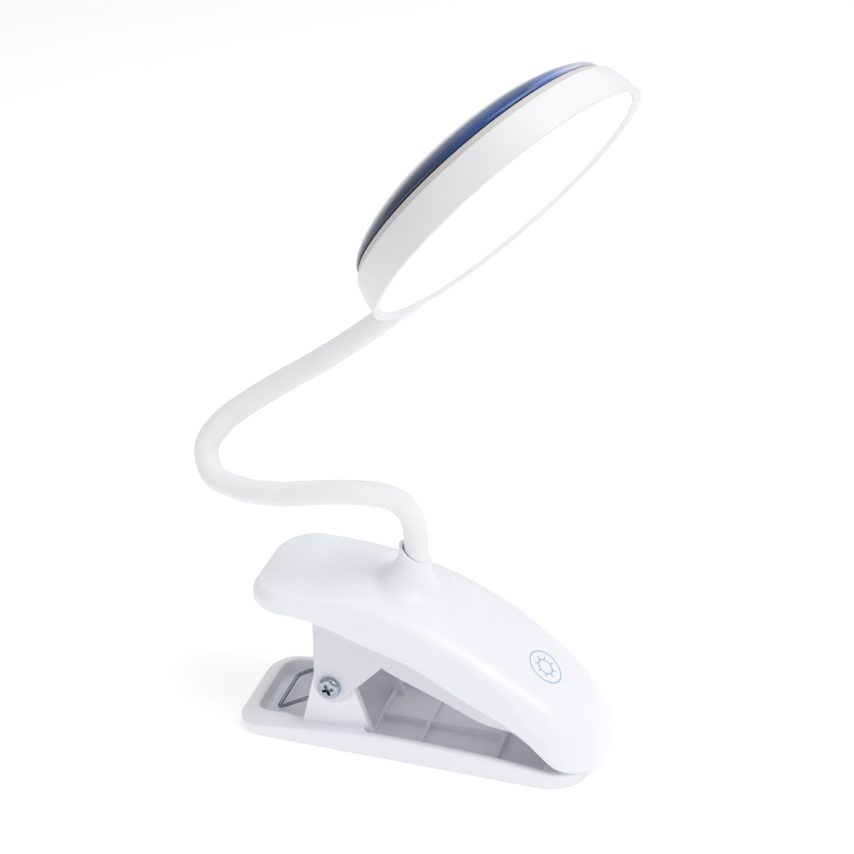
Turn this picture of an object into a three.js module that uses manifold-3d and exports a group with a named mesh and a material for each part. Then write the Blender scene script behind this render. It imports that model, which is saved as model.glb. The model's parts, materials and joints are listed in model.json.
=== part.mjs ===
// Clip-on reading lamp: a sprung two-jaw clip, a bendable neck and a round LED head.
// Millimetres, +Z up. The origin is the middle of the lower jaw's flat underside.
// +X runs from the finger pad to the jaw tips, and +Y is the side with the charging socket.
import * as THREE from 'three';
import { mergeVertices } from 'three/addons/utils/BufferGeometryUtils.js';
import Module from 'manifold-3d';

const wasm = await Module();
wasm.setup();

// ---------------------------------------------------------------- driving dimensions
const gap = 0.3; // clearance between pieces that rest on or sit in each other

// lower jaw
const jawLength = 111;
const jawWidth = 39;
const jawRimHeight = 8.6; // rim height beside the ribs
const jawRearRimHeight = 3.8;
const jawNoseRimHeight = 5.4;
const jawWall = 1.8;
const jawFloor = 1.4;
const jawRearCorner = 9;
const jawNoseCorner = 14;
const jawNoseLength = 13; // solid nose under the grip pad
const jawNoseHeight = 6.0;
const rearFlange = 5; // width of the flange round the rear pocket
const ribThickness = 1.2;
const ribHeight = 2.2; // above the floor
const ribX = [-13, 2.4, 26.5];
const pocketRimHeight = 6.2; // rim height where the rear pocket ends
const pocketFront = 10; // pocket's front end behind the hinge

// hinge
const pivotX = -23.9;
const pivotZ = 22.7;
const earRadius = 6.2;
const earFootRear = 11.2; // lower ears' foot behind the hinge
const earFootFront = 14.2; // and ahead of it
const lowerEarThickness = 2.8;
const upperEarThickness = 2.0;
const pivotTubeRadius = 4.0;
const pivotTubeBore = 2.0;
const screwShankRadius = 1.7;
const screwHeadRadius = 3.5;
const screwHeadHeight = 2.0;
const screwRecess = 1.1; // depth of the cross recess
const screwSlotWidth = 0.9;

// spring
const wireRadius = 0.75;
const coilRadius = 5.3;
const coilTurns = 4;
const coilPitch = 1.65;
const springLegY = 9.2; // outer legs that join at the cross bar
const springBarX = -44.4;
const springBarLift = 2.2; // cross bar's height over the pocket floor
const springBarInset = 1.6; // bend between each leg and the cross bar
const springTurnPoints = 12;

// upper jaw
const leverWidth = 40;
const neckX = -2.5;
const fingerPadSetback = 5; // finger pad's rear edge ahead of the lower jaw's
const noseOverhang = 3.5; // upper nose past the lower jaw's
const leverRear = jawLength / 2 - fingerPadSetback + neckX; // neck axis to the finger pad's rear edge
const leverFront = jawLength / 2 + noseOverhang - neckX; // neck axis to the nose
const crestHeight = 51.6; // side edge of the top surface at its highest
const noseHeight = 7.5;
const crown = 4.5; // rise of the middle of the top surface over its side edges
const crownDepth = 10; // how far in from each side the crown's curve runs
const shellWall = 1.9;
const leverRearCorner = 12;
const leverNoseCorner = 15;
const dishRun = 9; // length over which the dished finger pad rises to the crown
const dishRise = 0.6; // finger pad over the side edges
const coverWall = 1.6;
const coverScrewDepth = 1.8; // from the under cover's outside to its screw seats
const coverRearX = -29;
const gripPadThickness = 1.3;
const gripPadLength = 8.5;

// neck
const neckRadius = 3.7;
const neckSleeveWall = 1.1;
const bossHeight = 12; // socket mouth above the crowned top
const bossWall = 1.0;
const bossFlareRadius = 11;
const bendGap = 2.4; // free length of the sleeve and the core at each bend
const anchorDepth = 8.5; // how far the sleeve runs down inside the socket
const nutHeight = 3.6;
const nutAcross = 11; // across the flats
const nutPadRadius = 8;
const nutPadDepth = 3; // below the shell's wall

// head
const headRadius = 47.5;
const ringDepth = 10.2;
const ringTaper = 2.65; // how much smaller the ring's rear edge is than its front lip
const ringWall = 2.2;
const diffuserRecess = 0.8;
const diffuserThickness = 1.8;
const ledgeThickness = 1.2; // ledge inside the ring that the diffuser rests on
const ledgeDepth = 1.4;
const frameRim = 2.4; // how far the rear frame's rim runs up inside the ring
const stepInset = 1.2; // the rear frame's shadow step inside the ring's rear edge
const stepDepth = 1.9;
const coverInset = 1.65; // the blue ring's rim inside the ring's rear edge
const coverStraight = 0.4; // straight edge of the blue ring before its dome starts
const domeRise = 10; // from there to the middle of the rear cap
const domeFullness = 1.2; // power of the dome's rise: 1 is an ellipse, more is flatter at the rim
const capRadius = headRadius - 12.4; // where the blue ring ends and the white rear cap starts
const domeWall = 1.8;
const ledCount = 12;
const ledRingRadius = headRadius * 0.63;
const ledLength = 3.5;
const ledWidth = 2.8;
const ledHeight = 0.8;
const ledBoardRadius = headRadius - 6.5;
const ledBoardThickness = 1.2;
const headScrewRadius = 20; // from the head's axis to each screw
const headScrewAngles = [0, 1, 2].map((i) => (i * 2 * Math.PI) / 3);
const collarRadius = 5.2;
const collarZ = -5.4; // collar's axis behind the ring's front lip
const collarStem = 3.9; // radius of the collar's stem through the ring
const collarReach = 8;
const collarSeat = 3; // how far outside the ring the sleeve stops inside the collar

// electronics in the upper jaw
const cellSize = { length: 32, width: 25, height: 7 };
const boardSize = { length: 29, width: 27, height: 1.2 };
const socketSize = { length: 7.6, width: 5.6, height: 2.7 };
const socketWall = 0.5;
const socketDepth = 4;

// ---------------------------------------------------------------- materials
function plastic(color, roughness) {
  return new THREE.MeshStandardMaterial({ color, roughness, metalness: 0 });
}

function metal(color, roughness) {
  return new THREE.MeshStandardMaterial({ color, roughness, metalness: 1 });
}

const whiteAbs = plastic(0xf1f1f6, 0.45);
const innerAbs = plastic(0xe4e3ec, 0.5);
const silicone = plastic(0xf3f2f0, 0.6);
const greyRubber = plastic(0xd9d3db, 0.85);
const zincSteel = metal(0xb9c4cc, 0.3);
const springSteel = metal(0x6f7478, 0.35);
const brass = metal(0xb8a25a, 0.35);
const boardGreen = plastic(0x1f6b45, 0.5);
const cellFoil = metal(0xc3c8cc, 0.4);
const blueAcrylic = plastic(0x1f47a0, 0.12);
const opalAcrylic = plastic(0xffffff, 0.35);
const ledYellow = plastic(0xf6e9a8, 0.4);
const clearAcrylic = plastic(0xe8f3ff, 0.1);

// ---------------------------------------------------------------- solids
function toSolid(geometry) {
  const bare = geometry.clone();
  bare.deleteAttribute('normal');
  bare.deleteAttribute('uv');
  const merged = mergeVertices(bare, 1e-4);
  return new wasm.Manifold(new wasm.Mesh({
    numProp: 3,
    vertProperties: new Float32Array(merged.attributes.position.array),
    triVerts: new Uint32Array(merged.index.array),
  }));
}

function toGeometry(solid) {
  const mesh = solid.getMesh();
  const geometry = new THREE.BufferGeometry();
  geometry.setAttribute('position', new THREE.BufferAttribute(mesh.vertProperties, 3));
  geometry.setIndex(new THREE.BufferAttribute(mesh.triVerts, 1));
  return geometry;
}

function join(...solids) {
  return solids.reduce((sum, next) => sum.add(next));
}

function cut(solid, ...tools) {
  return tools.reduce((rest, tool) => rest.subtract(tool), solid);
}

// A plate of the given (x, z) outline between two y values.
function sidePlate(shape, yLow, yHigh) {
  const geometry = new THREE.ExtrudeGeometry(shape, {
    depth: yHigh - yLow, bevelEnabled: false, curveSegments: 10,
  });
  geometry.rotateX(Math.PI / 2);
  geometry.translate(0, yHigh, 0);
  return toSolid(geometry);
}

// A prism of the given (x, y) outline between two heights.
function planPrism(shape, zLow, zHigh) {
  const geometry = new THREE.ExtrudeGeometry(shape, {
    depth: zHigh - zLow, bevelEnabled: false, curveSegments: 8,
  });
  geometry.translate(0, 0, zLow);
  return toSolid(geometry);
}

function block(xLow, xHigh, yLow, yHigh, zLow, zHigh) {
  const geometry = new THREE.BoxGeometry(xHigh - xLow, yHigh - yLow, zHigh - zLow);
  geometry.translate((xLow + xHigh) / 2, (yLow + yHigh) / 2, (zLow + zHigh) / 2);
  return toSolid(geometry);
}

function centredBlock(length, width, height) {
  return block(-length / 2, length / 2, -width / 2, width / 2, -height / 2, height / 2);
}

// A cylinder along Z, or along Y when turned.
function rodZ(radius, x, y, zLow, zHigh, sides = 24) {
  const geometry = new THREE.CylinderGeometry(radius, radius, zHigh - zLow, sides);
  geometry.rotateX(Math.PI / 2);
  geometry.translate(x, y, (zLow + zHigh) / 2);
  return toSolid(geometry);
}

function rodY(radius, x, z, yLow, yHigh, sides = 24) {
  const geometry = new THREE.CylinderGeometry(radius, radius, yHigh - yLow, sides);
  geometry.translate(x, (yLow + yHigh) / 2, z);
  return toSolid(geometry);
}

// A turned solid about Z from (radius, z) pairs that run anticlockwise.
function turned(profile, sides) {
  const geometry = new THREE.LatheGeometry(profile.map(([r, z]) => new THREE.Vector2(r, z)), sides);
  geometry.rotateX(Math.PI / 2);
  return toSolid(geometry);
}

function roundedPlan(xLow, xHigh, halfWidth, rearCorner, frontCorner) {
  const shape = new THREE.Shape();
  shape.moveTo(xLow + rearCorner, -halfWidth);
  shape.lineTo(xHigh - frontCorner, -halfWidth);
  shape.absarc(xHigh - frontCorner, -halfWidth + frontCorner, frontCorner, -Math.PI / 2, 0);
  shape.absarc(xHigh - frontCorner, halfWidth - frontCorner, frontCorner, 0, Math.PI / 2);
  shape.lineTo(xLow + rearCorner, halfWidth);
  shape.absarc(xLow + rearCorner, halfWidth - rearCorner, rearCorner, Math.PI / 2, Math.PI);
  shape.absarc(xLow + rearCorner, -halfWidth + rearCorner, rearCorner, Math.PI, 1.5 * Math.PI);
  return shape;
}

function mesh(name, geometry, material) {
  const piece = new THREE.Mesh(geometry, material);
  piece.name = name;
  return piece;
}

function solidMesh(name, solid, material) {
  return mesh(name, toGeometry(solid), material);
}

// ---------------------------------------------------------------- jaw outlines
// Each outline is given as [share of the reach from the neck, share of the height from nose to crest].
const leverRearX = neckX - leverRear;
const leverFrontX = neckX + leverFront;

function outline(shares) {
  const points = shares.map(([reach, height]) => new THREE.Vector2(
    neckX + reach * (reach < 0 ? leverRear : leverFront),
    noseHeight + height * (crestHeight - noseHeight),
  ));
  return new THREE.SplineCurve(points).getPoints(26);
}

function heightOn(curve, x) {
  const after = curve.findIndex((point, index) => index > 0 && point.x >= x);
  const b = curve[after < 0 ? curve.length - 1 : after];
  const a = curve[(after < 0 ? curve.length - 1 : after) - 1];
  return a.y + ((b.y - a.y) * (x - a.x)) / (b.x - a.x);
}

const topEdge = outline([
  [-1, 0.975], [-0.73, 1], [-0.42, 0.984], [-0.104, 0.925], [0.164, 0.823], [0.41, 0.66],
  [0.656, 0.43], [0.82, 0.245], [0.934, 0.1], [1, 0],
]);
const bandEdge = outline([
  [-1, 0.9], [-0.87, 0.895], [-0.52, 0.862], [-0.21, 0.755], [0.079, 0.646], [0.32, 0.465],
  [0.6, 0.27], [0.79, 0.075], [0.92, 0.03], [1, 0],
]);
const coverEdge = outline([
  [-0.55, 0.8], [-0.36, 0.76], [-0.2, 0.67], [-0.11, 0.562], [0.013, 0.492], [0.213, 0.379],
  [0.4, 0.263], [0.5, 0.234], [0.585, 0.211], [0.775, 0.04], [0.95, 0.035],
]);

function shapeBetween(lower, upper) {
  const points = [...lower.map((p) => p.clone()), ...upper.map((p) => p.clone()).reverse()];
  return new THREE.Shape(points);
}

function lifted(curve, rise) {
  return curve.map((p) => new THREE.Vector2(p.x, p.y + rise));
}

function clipped(curve, xLow, xHigh) {
  const inside = curve.filter((p) => p.x > xLow + 0.5 && p.x < xHigh - 0.5);
  return [
    new THREE.Vector2(xLow, heightOn(curve, xLow)),
    ...inside,
    new THREE.Vector2(xHigh, heightOn(curve, xHigh)),
  ];
}

const far = 150; // beyond every piece of the clip, for cutting tools

// ---------------------------------------------------------------- lower jaw
const jawRearX = -jawLength / 2;
const jawFrontX = jawLength / 2;
const jawHalf = jawWidth / 2;
const ribFoot = jawFloor / 2;
const ribTop = jawFloor + ribHeight;
const earOuterY = leverWidth / 2 - shellWall - gap; // outer face of the upper ears
const upperEarInnerY = earOuterY - upperEarThickness;
const lowerEarOuterY = upperEarInnerY - gap;
const lowerEarInnerY = lowerEarOuterY - lowerEarThickness;

function lowerEarShape() {
  const shape = new THREE.Shape();
  const frontAngle = 0.35;
  const rearAngle = Math.PI - 0.2;
  shape.moveTo(pivotX - earFootRear, jawFloor / 2);
  shape.lineTo(pivotX + earFootFront, jawFloor / 2);
  shape.lineTo(pivotX + earRadius * Math.cos(frontAngle), pivotZ + earRadius * Math.sin(frontAngle));
  shape.absarc(pivotX, pivotZ, earRadius, frontAngle, rearAngle);
  return shape;
}

function lowerJaw() {
  const outline = roundedPlan(jawRearX, jawFrontX, jawHalf, jawRearCorner, jawNoseCorner);
  const plan = planPrism(outline, 0, jawRimHeight + 1);
  const rim = new THREE.Shape();
  rim.moveTo(jawRearX - 1, -1);
  rim.lineTo(jawFrontX + 1, -1);
  rim.lineTo(jawFrontX + 1, jawNoseRimHeight);
  rim.lineTo(ribX[2], jawRimHeight - 0.7);
  rim.lineTo(0, jawRimHeight);
  rim.lineTo(ribX[0], jawRimHeight - 0.2);
  rim.lineTo(pivotX - pocketFront - 1, pocketRimHeight);
  rim.lineTo(jawRearX - 1, jawRearRimHeight);
  let body = plan.intersect(sidePlate(rim, -far, far));
  const trayHalf = jawHalf - jawWall;
  const tray = block(ribX[0], jawFrontX - jawNoseLength, -trayHalf, trayHalf, jawFloor, far);
  const middle = block(pivotX - 12, ribX[0] + 1, -lowerEarInnerY, lowerEarInnerY, jawFloor, far);
  const pocket = planPrism(
    roundedPlan(jawRearX + rearFlange, pivotX - pocketFront, jawHalf - rearFlange, jawRearCorner - 3, 1),
    jawFloor,
    far,
  );
  const noseTop = block(jawFrontX - jawNoseLength - 1, far, -trayHalf, trayHalf, jawNoseHeight, far);
  body = cut(body, tray, middle, pocket, noseTop);
  const ribs = ribX.map((x) => block(
    x - ribThickness / 2, x + ribThickness / 2, -trayHalf - 0.5, trayHalf + 0.5, ribFoot, ribTop,
  ));
  const spine = block(ribX[0], ribX[2], -ribThickness / 2, ribThickness / 2, ribFoot, ribTop);
  const ears = [-1, 1].map((side) => sidePlate(
    lowerEarShape(),
    side < 0 ? -lowerEarOuterY : lowerEarInnerY,
    side < 0 ? -lowerEarInnerY : lowerEarOuterY,
  ));
  body = join(body, ...ribs, spine, ...ears);
  const bore = rodY(screwShankRadius + gap, pivotX, pivotZ, -far, far);
  return solidMesh('lower_jaw', cut(body, bore), whiteAbs);
}

// A strip of rubber behind the nose, following the rounded nose outline.
function nosePad(front, halfWidth, corner, zLow, zHigh) {
  const plan = planPrism(roundedPlan(0, front, halfWidth, 1, corner), zLow, zHigh);
  return plan.intersect(block(front - gripPadLength, far, -far, far, -far, far));
}

function lowerGripPad() {
  const inset = jawWall + gap;
  const seat = jawNoseHeight + gap / 2;
  const top = seat + gripPadThickness;
  const pad = nosePad(jawFrontX - inset, jawHalf - inset, jawNoseCorner - inset, seat, top);
  return solidMesh('lower_grip_pad', pad, greyRubber);
}

function pivotTube() {
  const end = lowerEarInnerY - gap;
  const tube = rodY(pivotTubeRadius, pivotX, pivotZ, -end, end);
  return solidMesh('pivot_tube', cut(tube, rodY(pivotTubeBore, pivotX, pivotZ, -far, far)), zincSteel);
}

function pivotScrew(name, side) {
  const seat = earOuterY + gap;
  const tip = lowerEarInnerY - 6;
  const straightShare = 0.45; // straight side of the head, then the start of its crown
  const crownShare = 0.72;
  const crownRise = 0.87;
  const profile = [
    [0, tip], [screwShankRadius, tip], [screwShankRadius, seat], [screwHeadRadius, seat],
    [screwHeadRadius, seat + screwHeadHeight * straightShare],
    [screwHeadRadius * crownShare, seat + screwHeadHeight * crownRise],
    [0, seat + screwHeadHeight],
  ];
  let screw = turned(profile, 24);
  const slot = screwHeadRadius * 1.1;
  const top = seat + screwHeadHeight + 1;
  const bottom = seat + screwHeadHeight - screwRecess;
  screw = cut(
    screw,
    block(-slot / 2, slot / 2, -screwSlotWidth / 2, screwSlotWidth / 2, bottom, top),
    block(-screwSlotWidth / 2, screwSlotWidth / 2, -slot / 2, slot / 2, bottom, top),
  );
  const piece = solidMesh(name, screw, zincSteel);
  piece.position.set(pivotX, 0, pivotZ);
  piece.rotation.x = side < 0 ? Math.PI / 2 : -Math.PI / 2;
  return piece;
}

// One wire: a coil on each side of the pivot tube, two legs back to the pocket and a cross bar.
const springBarZ = jawFloor + wireRadius + gap + springBarLift;
const legFootAngle = Math.atan2(springBarZ - pivotZ, springBarX - pivotX);
const legReach = Math.hypot(springBarZ - pivotZ, springBarX - pivotX);
const legTangent = legFootAngle + Math.acos(coilRadius / legReach); // coil angle where each leg leaves

function springPath() {
  const points = [];
  const total = coilTurns * springTurnPoints;
  for (const side of [-1, 1]) {
    const half = [];
    for (let i = 0; i <= total; i += 1) {
      const angle = legTangent + (i / springTurnPoints) * 2 * Math.PI;
      half.push(new THREE.Vector3(
        pivotX + coilRadius * Math.cos(angle),
        side * (springLegY - (i / springTurnPoints) * coilPitch),
        pivotZ + coilRadius * Math.sin(angle),
      ));
    }
    const foot = half[0];
    const corner = new THREE.Vector3(springBarX, side * springLegY, springBarZ);
    const leg = [0.5, 0.93].map((t) => foot.clone().lerp(corner, t));
    const bar = new THREE.Vector3(springBarX, side * (springLegY - springBarInset), springBarZ);
    const run = [...half.reverse(), ...leg, bar];
    points.push(...(side < 0 ? run : run.reverse()));
  }
  return new THREE.CatmullRomCurve3(points, false, 'centripetal');
}

function wireAlong(path, steps, radius = wireRadius, sides = 6) {
  const section = new THREE.Shape();
  section.absarc(0, 0, radius, 0, 2 * Math.PI);
  const geometry = new THREE.ExtrudeGeometry(section, {
    steps, bevelEnabled: false, extrudePath: path, curveSegments: sides / 2,
  });
  return toSolid(geometry);
}

function clipSpring() {
  return solidMesh('clip_spring', wireAlong(springPath(), 118), springSteel);
}

// ---------------------------------------------------------------- upper jaw
const topMiddle = (x) => heightOn(topEdge, x) + crown;

// The crowned body under the top surface, drawn in from the outside by the given inset.
function crownedBody(inset) {
  const half = leverWidth / 2 - inset;
  const shape = new THREE.Shape([
    new THREE.Vector2(-far, -far),
    new THREE.Vector2(topEdge[topEdge.length - 1].x, -far),
    ...topEdge.map((p) => p.clone()).reverse(),
    new THREE.Vector2(-far, topEdge[0].y),
  ]);
  const geometry = new THREE.ExtrudeGeometry(shape, {
    depth: 2 * (half - crownDepth),
    bevelEnabled: true,
    bevelThickness: crownDepth,
    bevelSize: crown,
    bevelOffset: -inset,
    bevelSegments: 4,
  });
  geometry.rotateX(Math.PI / 2);
  geometry.translate(0, half - crownDepth, 0);
  return toSolid(geometry);
}

const socketMouthZ = topMiddle(neckX) + bossHeight;
const nutSeatZ = topMiddle(neckX) - shellWall - nutPadDepth;
const coreRadius = neckRadius - neckSleeveWall - gap;
const screwPosts = [[-19, 9], [-19, -9], [38, 11], [38, -11]];
const postRadius = 2.4;
const smallScrew = { shank: 1.0, head: 2.0, headHeight: 1.2, length: 6 };

function bossProfile() {
  const straight = 3; // plain neck of the socket over its flare
  const steps = 6;
  const bossRadius = neckRadius + gap + bossWall;
  const flare = bossFlareRadius - bossRadius;
  const foot = topMiddle(neckX) - 3;
  const profile = [[0, foot], [bossFlareRadius, foot]];
  const bottom = topMiddle(neckX) - 1;
  for (let i = 0; i <= steps; i += 1) {
    const angle = (i / steps) * (Math.PI / 2);
    const rise = (bossHeight - straight) * (1 - Math.cos(angle));
    profile.push([bossFlareRadius - flare * Math.sin(angle), bottom + rise]);
  }
  profile.push([bossRadius, socketMouthZ], [0, socketMouthZ]);
  return profile;
}

function coverScrewSeat(x) {
  return heightOn(coverEdge, x) + coverScrewDepth;
}

function upperShell() {
  const plan = roundedPlan(leverRearX, leverFrontX, leverWidth / 2, leverRearCorner, leverNoseCorner);
  const tall = planPrism(plan, -far / 2, far);
  const aboveBand = sidePlate(shapeBetween(bandEdge, [
    new THREE.Vector2(leverRearX, far), new THREE.Vector2(leverFrontX, far),
  ]), -far, far);
  const dishEnd = neckX - bossFlareRadius - 0.5;
  const dishStart = dishEnd - dishRun;
  const dishTop = lifted(clipped(topEdge, leverRearX, dishStart), dishRise);
  const dish = sidePlate(new THREE.Shape([
    new THREE.Vector2(-far, dishTop[0].y),
    ...dishTop,
    new THREE.Vector2(dishEnd, topMiddle(dishEnd) + 0.2),
    new THREE.Vector2(dishEnd, far), new THREE.Vector2(-far, far),
  ]), -far, far);
  let shell = cut(crownedBody(0), dish).intersect(tall).intersect(aboveBand);
  const cavityCorner = leverNoseCorner - shellWall;
  const cavityPlan = roundedPlan(
    coverRearX - gap, leverFrontX - shellWall, earOuterY + gap, 1, cavityCorner,
  );
  const cavity = cut(crownedBody(shellWall), dish.translate([0, 0, -shellWall]))
    .intersect(planPrism(cavityPlan, -far / 2, far));
  shell = cut(shell, cavity);
  const boss = turned(bossProfile(), 32).translate([neckX, 0, 0]);
  const nutPad = rodZ(nutPadRadius, neckX, 0, nutSeatZ, topMiddle(neckX) - 1);
  const midWall = cut(crownedBody(shellWall / 2), dish.translate([0, 0, -shellWall / 2]));
  const posts = screwPosts.map(([x, y]) => rodZ(
    postRadius, x, y, coverScrewSeat(x) + gap + smallScrew.headHeight, far, 12,
  ).intersect(midWall));
  shell = join(shell, boss, nutPad, ...posts);
  const sleeveBore = rodZ(neckRadius + gap, neckX, 0, socketMouthZ - anchorDepth - gap, far, 24);
  const coreBore = rodZ(coreRadius + gap, neckX, 0, -far, far, 20);
  const threads = screwPosts.map(([x, y]) => rodZ(
    smallScrew.shank + gap, x, y, 0, coverScrewSeat(x) + smallScrew.headHeight + smallScrew.length, 12,
  ));
  return cut(shell, sleeveBore, coreBore, ...threads);
}

function upperEarShape() {
  const shape = new THREE.Shape();
  const earFront = neckX - 5.3;
  shape.moveTo(coverRearX, heightOn(bandEdge, coverRearX) + 1);
  shape.lineTo(coverRearX, pivotZ - 1);
  shape.absarc(pivotX + 0.6, pivotZ - 0.2, earRadius - 0.4, Math.PI + 0.25, 2 * Math.PI - 0.2);
  shape.lineTo(earFront, heightOn(coverEdge, earFront));
  shape.lineTo(neckX, heightOn(bandEdge, neckX));
  return shape;
}

function underCover() {
  const frontX = coverEdge[coverEdge.length - 1].x;
  const overlap = 3.2; // how far the cover's wall runs up inside the shell
  const plan = roundedPlan(coverRearX, frontX, earOuterY, 1, leverNoseCorner - shellWall - 1);
  const upper = clipped(lifted(bandEdge, overlap), coverRearX, frontX);
  const body = sidePlate(shapeBetween(clipped(coverEdge, coverRearX, frontX), upper), -far, far)
    .intersect(planPrism(plan, -far / 2, far));
  const floor = lifted(clipped(coverEdge, coverRearX + coverWall, frontX - coverWall), coverWall);
  const hollow = sidePlate(new THREE.Shape([
    ...floor, new THREE.Vector2(frontX - coverWall, far), new THREE.Vector2(coverRearX + coverWall, far),
  ]), -earOuterY + coverWall, earOuterY - coverWall);
  const ears = [-1, 1].map((side) => sidePlate(
    upperEarShape(),
    side < 0 ? -earOuterY : upperEarInnerY,
    side < 0 ? -upperEarInnerY : earOuterY,
  ));
  let cover = join(cut(body, hollow), ...ears);
  const seats = screwPosts.map(([x, y]) => rodZ(
    postRadius, x, y, coverScrewSeat(x) - 1, coverScrewSeat(x) + smallScrew.headHeight, 12,
  ));
  cover = join(cover, ...seats);
  const holes = screwPosts.map(([x, y]) => join(
    rodZ(smallScrew.shank + gap, x, y, 0, far, 12),
    rodZ(smallScrew.head + gap, x, y, 0, coverScrewSeat(x), 12),
  ));
  cover = cut(cover, ...holes, rodY(screwShankRadius + gap, pivotX, pivotZ, -far, far));
  return solidMesh('under_cover', cover, innerAbs);
}

function coverScrew(name, x, y) {
  const seat = coverScrewSeat(x) - gap;
  const profile = [
    [0, seat - smallScrew.headHeight], [smallScrew.head, seat - smallScrew.headHeight],
    [smallScrew.head, seat],
    [smallScrew.shank, seat], [smallScrew.shank, seat + smallScrew.length], [0, seat + smallScrew.length],
  ];
  const piece = solidMesh(name, turned(profile, 12), zincSteel);
  piece.position.set(x, y, 0);
  return piece;
}

function upperGripPad() {
  const front = coverEdge[coverEdge.length - 1].x - 2;
  const top = heightOn(coverEdge, front - gripPadLength / 2) - gap;
  const pad = nosePad(front, earOuterY - 2, leverNoseCorner - 5, top - gripPadThickness * 0.6, top);
  return solidMesh('upper_grip_pad', pad, greyRubber);
}

function springArm(name, side) {
  const y = side * (springLegY - coilTurns * coilPitch - 2 * wireRadius - gap);
  const top = heightOn(bandEdge, pivotX) - 3.5;
  const path = new THREE.CatmullRomCurve3([
    new THREE.Vector3(pivotX - coilRadius, y, pivotZ - 1.5),
    new THREE.Vector3(pivotX - coilRadius, y, pivotZ + 5),
    new THREE.Vector3(pivotX - coilRadius + 1.5, y, top - 4),
    new THREE.Vector3(pivotX - coilRadius + 3.2, y, top),
  ]);
  return solidMesh(name, wireAlong(path, 10), springSteel);
}

function touchPlate() {
  const radius = 6.5;
  const thickness = 0.4;
  const x = neckX + 0.67 * leverFront;
  const slope = Math.atan2(heightOn(topEdge, x - 4) - heightOn(topEdge, x + 4), 8);
  const plate = solidMesh('touch_plate', rodZ(radius, 0, 0, -thickness / 2, thickness / 2), brass);
  plate.rotation.y = slope;
  const underTop = crown - shellWall - 2 * gap - thickness;
  plate.position.set(x, 0, heightOn(topEdge, x) + underTop / Math.cos(slope));
  return plate;
}

// The board, the cell under it, the charging socket and the charge light share one sloping tray.
const trayX = 19.5;
const traySlope = Math.atan2(heightOn(topEdge, trayX - 12) - heightOn(topEdge, trayX + 12), 24);
const trayZ = topMiddle(trayX) - shellWall - 5;
const socketAt = { x: -9, z: -(boardSize.height + socketSize.height) / 2 - gap / 2 };
const lightAt = { x: -1.5, z: -1.9 };
const lightRadius = 1.0;

function inTray(solid) {
  return solid.rotate([0, THREE.MathUtils.radToDeg(traySlope), 0]).translate([trayX, 0, trayZ]);
}

function upperShellMesh() {
  const socketHole = centredBlock(socketSize.length + 2 * gap, 8, socketSize.height + 2 * gap)
    .translate([socketAt.x, leverWidth / 2, socketAt.z]);
  const side = leverWidth / 2;
  const lightHole = rodY(lightRadius + gap, lightAt.x, lightAt.z, side - 4, side + 4, 16);
  return solidMesh('upper_shell', cut(upperShell(), inTray(socketHole), inTray(lightHole)), whiteAbs);
}

function electronics() {
  const tray = new THREE.Group();
  tray.position.set(trayX, 0, trayZ);
  tray.rotation.y = traySlope;
  const board = centredBlock(boardSize.length, boardSize.width, boardSize.height);
  tray.add(solidMesh('control_board', board, boardGreen));
  const cell = centredBlock(cellSize.length, cellSize.width - 6, cellSize.height)
    .translate([0, -3, -(boardSize.height + cellSize.height) / 2 - gap]);
  tray.add(solidMesh('battery_cell', cell, cellFoil));
  const socketOuter = leverWidth / 2 - 0.6;
  const socketInner = boardSize.width / 2 + gap - 4;
  const halfLength = socketSize.length / 2;
  const halfHeight = socketSize.height / 2;
  let port = block(-halfLength, halfLength, socketInner, socketOuter, -halfHeight, halfHeight);
  const mouthLength = halfLength - socketWall;
  const mouthHeight = halfHeight - socketWall;
  port = cut(port, block(
    -mouthLength, mouthLength, socketOuter - socketDepth, socketOuter + 1, -mouthHeight, mouthHeight,
  ));
  tray.add(solidMesh('charging_socket', port.translate([socketAt.x, 0, socketAt.z]), zincSteel));
  const light = rodY(lightRadius, lightAt.x, lightAt.z, socketInner + 1, leverWidth / 2 - 0.2, 16);
  tray.add(solidMesh('charge_light', light, clearAcrylic));
  return tray;
}

function neckNut() {
  const top = nutSeatZ - gap;
  const nut = rodZ(nutAcross / 2 / Math.cos(Math.PI / 6), neckX, 0, top - nutHeight, top, 6);
  return solidMesh('neck_nut', cut(nut, rodZ(coreRadius + gap, neckX, 0, 0, far, 20)), brass);
}

// ---------------------------------------------------------------- neck
// Points of the neck's centre line, from the socket mouth.
const coreDepth = socketMouthZ - nutSeatZ + 5;
const neckKnots = [
  [0, 0, -coreDepth], [0, 0, -anchorDepth], [0.1, 0, 6.5], [-1.6, -1, 14], [-6, -3, 19], [-15.4, -6, 21],
  [-26.6, -7.5, 20],
  [-39, -7.5, 17.4], [-51, -6, 16], [-62.3, -2.5, 17.4], [-65.9, 2, 24.4], [-61.9, 6, 31.2],
  [-55.1, 10, 36.6], [-46.3, 15, 42.2], [-35.5, 20.5, 48.6], [-25.3, 25.4, 55.6], [-14.4, 27.9, 64.7],
  [-11.5, 26.8, 68.5], [-9, 25.9, 71.9],
].map(([x, y, z]) => new THREE.Vector3(neckX + x, y, socketMouthZ + z));
const neckLine = new THREE.CatmullRomCurve3(neckKnots, false, 'centripetal');
const neckLength = neckLine.getLength();
const bendFromMouth = [7, 48, 104, 148]; // neck length from the socket mouth to each bend
const bends = bendFromMouth.map((length) => (coreDepth + length) / neckLength);

class NeckStretch extends THREE.Curve {
  constructor(from, to) {
    super();
    this.from = from;
    this.to = to;
  }

  getPoint(t, target = new THREE.Vector3()) {
    return target.copy(neckLine.getPointAt(Math.min(1, this.from + (this.to - this.from) * t)));
  }
}

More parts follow.
